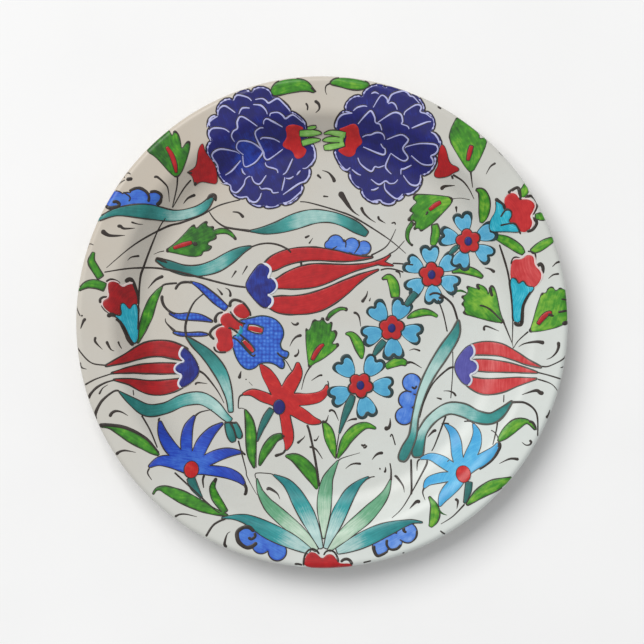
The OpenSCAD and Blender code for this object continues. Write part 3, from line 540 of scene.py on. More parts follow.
def inside(loops, p):
    """Which points of p lie inside the loops, by crossings."""
    hit = np.zeros(len(p), bool)
    for loop in loops:
        a, b = loop, np.roll(loop, -1, 0)
        for start in range(0, len(p), BATCH):
            q = p[start:start + BATCH]
            x, y = q[:, 0:1], q[:, 1:2]
            above = (a[:, 1] > y) != (b[:, 1] > y)
            rise = np.where(b[:, 1] == a[:, 1], TINY, b[:, 1] - a[:, 1])
            cut = a[:, 0] + (y - a[:, 1]) * (b[:, 0] - a[:, 0]) / rise
            hit[start:start + BATCH] ^= (np.sum(above & (x < cut), 1) % 2).astype(bool)
    return hit


def noise_at(p, scale, seed):
    """A slow random change over the plate, at the points p."""
    return np.array([noise.noise((x * scale, y * scale, seed)) for x, y in p])


def bent_axis(p):
    """Coordinates along and across a leaf or petal whose long axis may be bent."""
    centre = p.mean(0)
    _, _, axes = np.linalg.svd(p - centre, full_matrices=False)
    along = (p - centre) @ axes[0]
    across = (p - centre) @ axes[1]
    if len(p) > 12:
        across = across - np.polyval(np.polyfit(along, across, 3), along)
    return along, across


def field(node, style):
    """Replaces a painted CAD node by a field with rounded edges, and draws its outline."""
    loops, layer = top_loops(node)
    loops = [resampled(loop, EDGE_STEP) for loop in loops]
    edge = np.concatenate(loops)
    fine = np.concatenate([resampled(loop, FINE_STEP) for loop in loops])
    tree = KDTree(len(fine))
    for i, p in enumerate(fine):
        tree.insert((p[0], p[1], 0), i)
    tree.balance()

    def gap(p):
        return np.array([tree.find((q[0], q[1], 0))[2] for q in p])

    def within(p, least):
        p = p[inside(loops, p)]
        return p[gap(p) > least] if len(p) else p

    ring = np.concatenate([loop + RING_IN * left_of(np.roll(loop, -1, 0) - np.roll(loop, 1, 0))
                           for loop in loops])
    low, high = edge.min(0), edge.max(0)
    grid = []
    for j in range(int((high[1] - low[1]) / (FIELD_STEP * ROW)) + 1):
        x = np.arange(low[0] + (j % 2) * FIELD_STEP / 2, high[0], FIELD_STEP)
        grid.append(np.stack([x, np.full(len(x), low[1] + j * FIELD_STEP * ROW)], 1))
    spots = np.concatenate([edge, within(ring, RING_GAP), within(np.concatenate(grid), GRID_GAP)])
    edges = []
    for loop in loops:
        start, n = len(edges), len(loop)
        edges += [(start + k, start + (k + 1) % n) for k in range(n)]
    flat, _, tris, _, _, _ = delaunay_2d_cdt([Vector(p) for p in spots], edges, [], 0, 1e-5)
    flat = np.array([tuple(p) for p in flat])
    tris = np.array([t for t in tris if len(t) == 3])
    tris = tris[inside(loops, flat[tris].mean(1))]
    used = np.unique(tris)
    renumber = -np.ones(len(flat), int)
    renumber[used] = np.arange(len(used))
    flat, tris = flat[used], renumber[tris]

    away = gap(flat)
    rise = 1 - (1 - np.clip(away / EDGE_ROUND, 0, 1)) ** 2
    foot = layer * PAINT_T + EDGE_LIFT
    brushed = noise_at(flat, 0.9, 3.1) * UNEVEN
    height = foot + ((layer + 1) * PAINT_T - foot + brushed) * rise
    n = len(flat)
    points = np.concatenate([drape(flat[:, 0], flat[:, 1], height),
                             drape(flat[:, 0], flat[:, 1], -SUNK)])
    faces = [tuple(t) for t in tris] + [(t[2] + n, t[1] + n, t[0] + n) for t in tris]
    faces += [(b, a, a + n, b + n) for a, b in rim_edges(tris.tolist())]

    along, across = np.zeros(n), np.zeros(n)
    for part in islands(n, tris):
        along[part], across[part] = bent_axis(flat[part])
    if style.get("grain") == "vertical":
        along, across = flat[:, 1], flat[:, 0]
    attributes = {"tone": np.tile(style["tone"](flat[:, 0], flat[:, 1]), 2),
                  "edge": np.tile(np.minimum(away, EDGE_REACH), 2),
                  "grain": np.tile(np.stack([along, across, np.zeros(n)], 1), (2, 1))}
    make_mesh(node + "_paint", points, faces, PAINTS[style["paint"]], attributes,
              [node])
    if style["line"]:
        outline(node + "_outline", loops, layer, style)
    if "edging" in style:
        outline(node + "_edging", loops, layer, style["edging"])


def islands(n, tris):
    """The vertex numbers of each connected part."""
    parent = list(range(n))

    def root(i):
        while parent[i] != i:
            parent[i] = parent[parent[i]]
            i = parent[i]
        return i

    for a, b, c in tris.tolist():
        ra, rb, rc = root(a), root(b), root(c)
        parent[rb] = ra
        parent[rc] = ra
    groups = {}
    for i in range(n):
        groups.setdefault(root(i), []).append(i)
    return [np.array(g) for g in groups.values()]


# ---- brush lines ----
# Across a bead, from side to side: the place and the share of the rise. None is under the face.
BEAD_SECTION = ((-1, None), (-0.86, 0.35), (-0.5, 0.85), (0, 1), (0.5, 0.85), (0.86, 0.35),
                (1, None))
DOT = (0.4, 0.1)      # a dot reaches this far to both sides
THINNEST = 0.1        # thinnest stroke
THINNEST_OUTLINE = 0.08
UNSTEADY = 0.16       # how much the width of a stroke changes along the way
MOTTLED = 0.18        # and its tone
OUTLINE_SINK = 0.02   # outlines start this far under the top of their field
OUTLINE_GRAIN = 0.8   # the width that the grain of an outline has
COVERED_R = PAINTED_R - 0.3   # strokes are not lifted over fields past here
ABOVE = 0.05          # a height over the whole plate, in metres
COATS = ("clay_body", "white_slip", "back_glaze", "foot_well_glaze")


def bead(line, width, level, closed=False):
    """The points and faces of a low rounded bead of paint along a line.

    level is the height of what it lies on, at each point of the line."""
    n = len(line)
    left = left_of(np.roll(line, -1, 0) - np.roll(line, 1, 0) if closed
                   else np.gradient(line, axis=0))
    rise = LINE_RISE * np.clip(width / 0.8, 0.5, 1.3)
    rows = []
    for side, share in BEAD_SECTION:
        p = line + left * (side * width / 2)[:, None]
        height = np.full(n, -SUNK) if share is None else level + rise * share
        rows.append(drape(p[:, 0], p[:, 1], height))
    k = len(rows)
    points = np.stack(rows, 1).reshape(-1, 3)
    faces = []
    for i in range(n if closed else n - 1):
        a, b = i * k, ((i + 1) % n) * k
        for j in range(k):
            m = (j + 1) % k
            faces.append((a + j, b + j, b + m, a + m))
    if not closed:
        faces.append(tuple(range(k)))
        faces.append(tuple(reversed(range((n - 1) * k, n * k))))
    return points, faces


class Beads:
    """Beads of paint that are gathered into one piece."""

    def __init__(self):
        self.points, self.faces, self.tones, self.grains = [], [], [], []

    def add(self, line, width, level, tone, run, spread, closed=False):
        """run is the length so far at each point, and spread the width that the grain has."""
        points, faces = bead(line, width, level, closed)
        base = sum(len(p) for p in self.points)
        n, k = len(line), len(points) // len(line)
        across = np.tile(np.linspace(-0.5, 0.5, k), n) * np.repeat(spread, k)
        self.points.append(points)
        self.faces += [tuple(i + base for i in face) for face in faces]
        self.tones.append(np.repeat(tone, k))
        self.grains.append(np.stack([np.repeat(run, k), across, np.zeros(n * k)], 1))

    def make(self, name, material):
        if self.points:
            make_mesh(name, np.concatenate(self.points), self.faces, material,
                      {"tone": np.concatenate(self.tones), "grain": np.concatenate(self.grains)})


def drawn(points, step):
    """A smooth line through given points, about step apart. One point makes a dot."""
    p = np.array(points, float)
    if len(p) == 1:
        p = np.array([p[0] - DOT, p[0] + DOT])
    out = []
    for i in range(len(p) - 1):
        a, b = p[i], p[i + 1]
        before, after = p[max(i - 1, 0)], p[min(i + 2, len(p) - 1)]
        pieces = max(2, math.ceil(np.linalg.norm(b - a) / step))
        out += [spline(before, a, b, after, k / pieces) for k in range(pieces)]
    out.append(p[-1])
    return np.array(out)


def painted_tree():
    """All painted CAD nodes in one tree, for the height of what a stroke crosses."""
    points, faces = [], []
    for node, obj in nodes.items():
        if node not in COATS:
            base = len(points)
            points += [tuple(v.co) for v in obj.data.vertices]
            faces += [tuple(i + base for i in face.vertices) for face in obj.data.polygons]
    return BVHTree.FromPolygons(points, faces)


COVER = painted_tree()


def cover_height(x, y):
    """Height above the face of the painted fields at a point."""
    r = math.hypot(x, y)
    if r > COVERED_R:
        return 0.0
    hit = COVER.ray_cast(Vector((x * MM, y * MM, ABOVE)), Vector((0, 0, -1)))[0]
    if hit is None:
        return 0.0
    face_z, slope = face_at(r)
    return max(0.0, (hit.z / MM - face_z) * math.cos(slope))


def brush_group(name, strokes, material):
    """One piece for the strokes of a region. Each stroke is (widths, points)."""
    beads = Beads()
    for widths, spots in strokes:
        line = drawn(spots, LINE_STEP)
        run = np.concatenate([[0], np.cumsum(np.linalg.norm(np.diff(line, axis=0), axis=1))])
        width = np.interp(run / run[-1], np.linspace(0, 1, max(len(widths), 2)),
                          widths if len(widths) > 1 else widths * 2)
        tip = np.minimum(run, run[-1] - run) / np.maximum(0.5 * width, 0.05)
        width = width * np.sqrt(np.clip(1 - (1 - np.clip(tip, 0.02, 1)) ** 2, 0.02, 1))
        wobble = noise_at(line, 0.35, 7.7)
        width = np.maximum(width * (1 + UNSTEADY * wobble), THINNEST)
        # A stroke lies on the highest of what is under it, and gets there over a few points.
        side = left_of(np.gradient(line, axis=0)) * width[:, None] * 0.4
        level = np.array([max(cover_height(*p), cover_height(*(p + q)), cover_height(*(p - q)))
                          for p, q in zip(line, side)])
        reach = np.maximum.reduce([np.roll(np.pad(level, 2, "edge"), s)[2:-2]
                                   for s in (-2, -1, 0, 1, 2)])
        level = np.convolve(np.pad(reach, 1, "edge"), [0.25, 0.5, 0.25], "valid")
        thin = np.clip(1 - width / 0.7, 0, 1) * 0.5
        beads.add(line, width, level, 0.3 + thin + MOTTLED * wobble, run, width)
    beads.make(name, material)


def kept_runs(keep):
    """The stretches of a closed loop that are kept, and whether the loop is kept all round."""
    if keep.all():
        return [np.arange(len(keep))], True
    runs, run = [], []
    for i in np.roll(np.arange(len(keep)), -int(np.argmin(keep))):
        if keep[i]:
            run.append(i)
        elif run:
            runs.append(run)
            run = []
    return runs + [run], False


def outline(name, loops, layer, style):
    """A brush line round a field. It stops where the design runs over the lip."""
    beads = Beads()
    for number, loop in enumerate(loops):
        loop = resampled(loop, OUTLINE_STEP)
        soft = loop.copy()
        for _ in range(2):
            soft = 0.5 * soft + 0.25 * (np.roll(soft, 1, 0) + np.roll(soft, -1, 0))
        out = -left_of(np.roll(soft, -1, 0) - np.roll(soft, 1, 0))
        vary = noise_at(soft, 0.16, 11.3 + number)
        width = style["line"] * (1 + style.get("vary", 0.55) * vary)
        if "caps" in style:
            width = width * style["caps"](soft, out)
        width = np.maximum(width, THINNEST_OUTLINE)
        soft = soft + out * (width * style.get("shift", 0.15) + style.get("inset", 0.0))[:, None]
        runs, closed = kept_runs(np.hypot(loop[:, 0], loop[:, 1]) < UNLINED_R)
        for run in runs:
            if len(run) < 4 or width[run].max() < THINNEST:
                continue
            n = len(run)
            beads.add(soft[run], width[run], np.full(n, (layer + 1) * PAINT_T - OUTLINE_SINK),
                      0.35 + 0.35 * vary[run], np.arange(n) * OUTLINE_STEP,
                      np.full(n, OUTLINE_GRAIN), closed)
    beads.make(name, PAINTS[style.get("ink", "ink")])


# ---- how each field is painted ----
def along_x(*stops):
    return lambda x, y: np.interp(x, *zip(*stops))


def along_y(*stops):
    return lambda x, y: np.interp(y, *zip(*stops))


def from_point(centre, *stops):
    return lambda x, y: np.interp(np.hypot(x - centre[0], y - centre[1]), *zip(*stops))


def darker_of(first, second):
    return lambda x, y: np.minimum(first(x, y), second(x, y))


# The functions below give the share of a line's width at the points p of an edge. out points
# away from the field.
def on_petal_ends(p, out):
    """Thick line on the outer ends of a blossom's petals, thin on their sides."""
    middle = BLOSSOMS[int(np.argmin(np.hypot(*(BLOSSOMS - np.mean(p, 0)).T)))]
    ray = p - middle
    reach = np.hypot(*ray.T)
    facing = np.einsum("ij,ij->i", out, ray) / np.maximum(reach, TINY)
    return 0.35 + 1.25 * np.clip((facing - 0.1) / 0.6, 0, 1) * np.clip((reach - 9) / 2.5, 0, 1)


def bend(out, reach):
    """How sharply the edge turns, told by the directions that reach points before and after."""
    before, after = np.roll(out, reach, 0), np.roll(out, -reach, 0)
    turning = before[:, 0] * after[:, 1] - before[:, 1] * after[:, 0]
    return turning, np.einsum("ij,ij->i", before, after)


def on_lobes(p, out):
    """Full line where the edge bulges, none in the notches between the petals."""
    return np.clip(0.3 + 2.4 * bend(out, 2)[0], 0, 1.15)


def at_teeth(p, out):
    """Thin line that swells into a dark tip at every tooth of a leaf."""
    turning, facing = bend(out, 3)
    sharp = np.where(facing < 0, np.sign(turning), turning)
    return 0.75 + 2.1 * np.clip(sharp - 0.25, 0, 1)


def towards(side):
    """Full line where the edge faces that way, none on the other side."""
    def share(p, out):
        return np.clip(2.5 * (out @ np.array(side)) - 0.2, 0, 1)
    return share


def look(paint_name, tone, line=0.0, **more):
    """How a field is painted. A number for the tone is the same all over."""
    where = tone if callable(tone) else lambda x, y: np.full(len(x), tone)
    return {"paint": paint_name, "tone": where, "line": line, **more}


def edging(ink, line, vary, inset, caps):
    """A second line, of a light paint, beside part of the outline."""
    return {"ink": ink, "line": line, "vary": vary, "inset": inset, "caps": caps, "shift": 0.0}


def cup(paint_name, tone, line, side, **more):
    """A tulip's cup, with a white band where it faces the petals."""
    return look(paint_name, tone, line, edging=edging("white", 1.25, 0.3, 0.35, towards(side)),
                **more)


# Middles of the four spring blossoms, and where the blades of the fan meet.
BLOSSOMS = np.array([(74.7, 41.3), (56.0, 24.2), (35.6, -3.1), (19.6, -32.3)])
FAN_FOOT = (0, -117)
PETAL_EDGING = edging("lavender", 0.85, 0.6, -0.7, on_lobes)


def blossom(tone):
    return look("sky", tone, 1.15, caps=on_petal_ends, ink="deep_teal_ink", shift=0.2)


def leaf(tone):
    return look("leaf", tone, 0.55, vary=0.6, shift=-0.2, caps=at_teeth)


def cloud(tone):
    return look("cloud", tone, 0.7)


def rose(side, paint_name="red", tone=0.62):
    """Rose petals with a light edge where they face that way."""
    return look(paint_name, tone, edging=edging("blush", 0.95, 0.6, 0.4, towards(side)))


LOOKS = {
    "left_carnation_petals": look("cobalt", from_point((-37, 86), (0, 0.85), (7, 0.7), (13, 0.42),
                                                       (28, 0.35)), 0.6, shift=0.3,
                                  edging=PETAL_EDGING),
    "right_carnation_petals": look("cobalt", 0.36, 0.6, shift=0.3, edging=PETAL_EDGING),
    "carnation_calyxes": look("bright_red", 0.45),
    "carnation_sepals": look("pale_leaf", 0.65, 0.45, vary=0.9),
    "rim_buds": look("red", 0.42, 0.3, vary=0.9),
    "rim_leaves": look("leaf", 0.48, 0.6, vary=0.9),
    "serrated_leaf_upper_left": leaf(along_x((-88, 0.0), (-80, 0.15), (-74, 0.45), (-68, 0.05))),
    "serrated_leaf_left": leaf(along_x((-80, 0.5), (-70, 0.25), (-60, 0.1), (-52, 0.35))),
    "serrated_leaf_middle": leaf(along_y((-24, 0.8), (-14, 0.6), (-6, 0.3), (1, 0.1), (6, 0.6))),
    "serrated_leaf_upper_right": leaf(along_y((76, 0.35), (86, 0.6), (96, 0.4), (104, 0.3))),
    "serrated_leaf_right": leaf(from_point((66, 63), (0, 0.9), (8, 0.68), (15, 0.38), (24, 0.4))),
    "serrated_leaf_low_right": leaf(from_point((83, 11), (0, 0.9), (5, 0.7), (10, 0.35),
                                               (16, 0.3))),
    "serrated_leaf_rim": leaf(along_x((105, 0.85), (114, 0.7), (122, 0.5))),
    "serrated_leaf_veins": look("red", 0.4, 0.4, vary=1.0),
    "saz_leaf_rim": look("teal", along_x((-116, 0.4), (-100, 0.05), (-88, 0.1), (-78, 0.7),
                                         (-66, 0.8), (-60, 0.35), (-57, 0.1)), 0.65),
    "saz_leaf_left": look("teal", along_x((-84, 0.0), (-72, 0.0), (-60, 0.6), (-50, 0.65),
                                          (-44, 0.15), (-38, 0.0)), 0.75),
    "saz_leaf_middle": look("teal", along_x((-37, 0.0), (-25, 0.15), (-12, 0.8), (2, 0.85),
                                            (10, 0.55), (16, 0.1), (24, 0.0)), 0.65),
    "saz_leaf_left_tall": look("teal", along_y((-60, 0.05), (-51, 0.2), (-45, 0.75), (-32, 0.8),
                                               (-24, 0.4), (-16, 0.1), (-8, 0.05)), 0.75),
    "saz_leaf_left_long": look("teal", along_x((-103, 0.0), (-86, 0.1), (-76, 0.35), (-66, 0.75),
                                               (-52, 0.95), (-47, 0.6), (-44, 0.15)), 0.65),
    # The right saz leaves and the sky star lie under painted glare; their grey ink is a painted
    # highlight
    "saz_leaf_right_tall": look("teal", along_y((-70, 0.15), (-62, 0.25), (-56, 0.6), (-48, 1.0),
                                                (-36, 1.05), (-22, 0.9), (-12, 0.55), (-6, 0.25),
                                                (1, 0.1)), 1.0, ink="glare_grey_ink", vary=0.4),
    "saz_leaf_right_long": look("teal", darker_of(
        along_x((48, 0.85), (56, 1.0), (66, 0.95), (75, 0.65), (82, 0.4), (90, 0.25), (96, 0.15)),
        along_y((-69, 0.15), (-63, 0.25), (-57, 0.85), (-50, 1.1))), 1.0, ink="glare_grey_ink", vary=0.4),
    "left_tulip_petals": look("red", 0.22, 0.85),
    "middle_tulip_petals": look("red", 0.46, 0.85),
    # The right tulip: pale red with strong vertical streaks and grey ink stand in for a painted
    # highlight, the glare of a light over it
    "right_tulip_petals": look("pale_red", 0.5, 0.75, ink="glare_grey_ink", grain="vertical"),
    "left_tulip_cup": cup("cobalt", 0.56, 0.55, (-1, 0)),
    "middle_tulip_cup": cup("cobalt", 0.64, 0.55, (1, 0.1)),
    "right_tulip_cup": cup("violet", 0.4, 0.6, (1, 0), ink="glare_grey_ink"),
    "top_blossom_petals": blossom(0.55),
    "second_blossom_petals": blossom(0.62),
    "third_blossom_petals": blossom(0.4),
    "low_blossom_petals": blossom(0.43),
    "blossom_stars": look("bright_red", 0.32, 0.8, vary=0.8),
    "blossom_eyes": look("cobalt", 0.45, 0.25),
    "red_star_petals": look("bright_red", 0.42, 0.5, vary=0.9),
    "blue_star_petals": look("royal", from_point((-66.6, -75.2), (0, 0.85), (8, 0.7), (20, 0.35),
                                                 (30, 0.2)), 0.55),
    "sky_star_petals": look("azure", from_point((71.8, -77.3), (0, 0.75), (12, 0.55), (28, 0.3)),
                            0.45, ink="glare_grey_ink"),
    "cobalt_star_eye": look("cobalt", 0.45, 0.3),
    "red_star_eyes": look("bright_red", 0.5, 0.35, vary=0.9),
    "left_rose_petals": rose((-0.6, 0.8), "red", 0.2),
    "upper_rose_petals": rose((0.8, 0.6)),
    "lower_rose_petals": rose((0.6, 0.8), "pale_red", 0.45),
    "rose_calyxes": look("turquoise", 0.5, 0.5, vary=0.9),
    "cloud_rim_left": cloud(0.3),
    "cloud_top": cloud(0.52),
    "cloud_right": cloud(0.6),
    "cloud_low_left": cloud(0.3),
    "cloud_low_right": cloud(0.7),
    "hyacinth_tendrils": look("crown", 0.22, 0.75),
    "hyacinth_petals": look("bright_red", 0.25, edging=edging("blush", 0.7, 0.8, 0.3,
                                                              towards((-0.9, 0.4)))),
    "hyacinth_crown": look("crown", 0.35, 0.75, ink="deep_teal_ink"),
    "flower_stems": look("stem_teal", 0.4, 0.4),
    "left_grass_leaves": look("leaf", 0.36, 0.55, vary=0.8),
    "right_grass_leaves": look("leaf", 0.64, 0.55, vary=0.8),
    "fan_teal_blades": look("fan_teal", from_point(FAN_FOOT, (6, 1.0), (16, 0.9), (26, 0.45),
                                                   (34, 0.2), (46, 0.15), (56, 0.35)), 0.5),
    "fan_green_blades": look("fan_green", from_point(FAN_FOOT, (8, 1.0), (20, 0.9), (30, 0.5),
                                                     (40, 0.3), (52, 0.45)), 0.5),
    "foot_rosette": look("red", 0.42),
}


# ---- brush strokes: (widths along the stroke, points) ----
def alike(widths, lines):
    """Strokes that share their widths."""
    return [(widths, points) for points in lines]


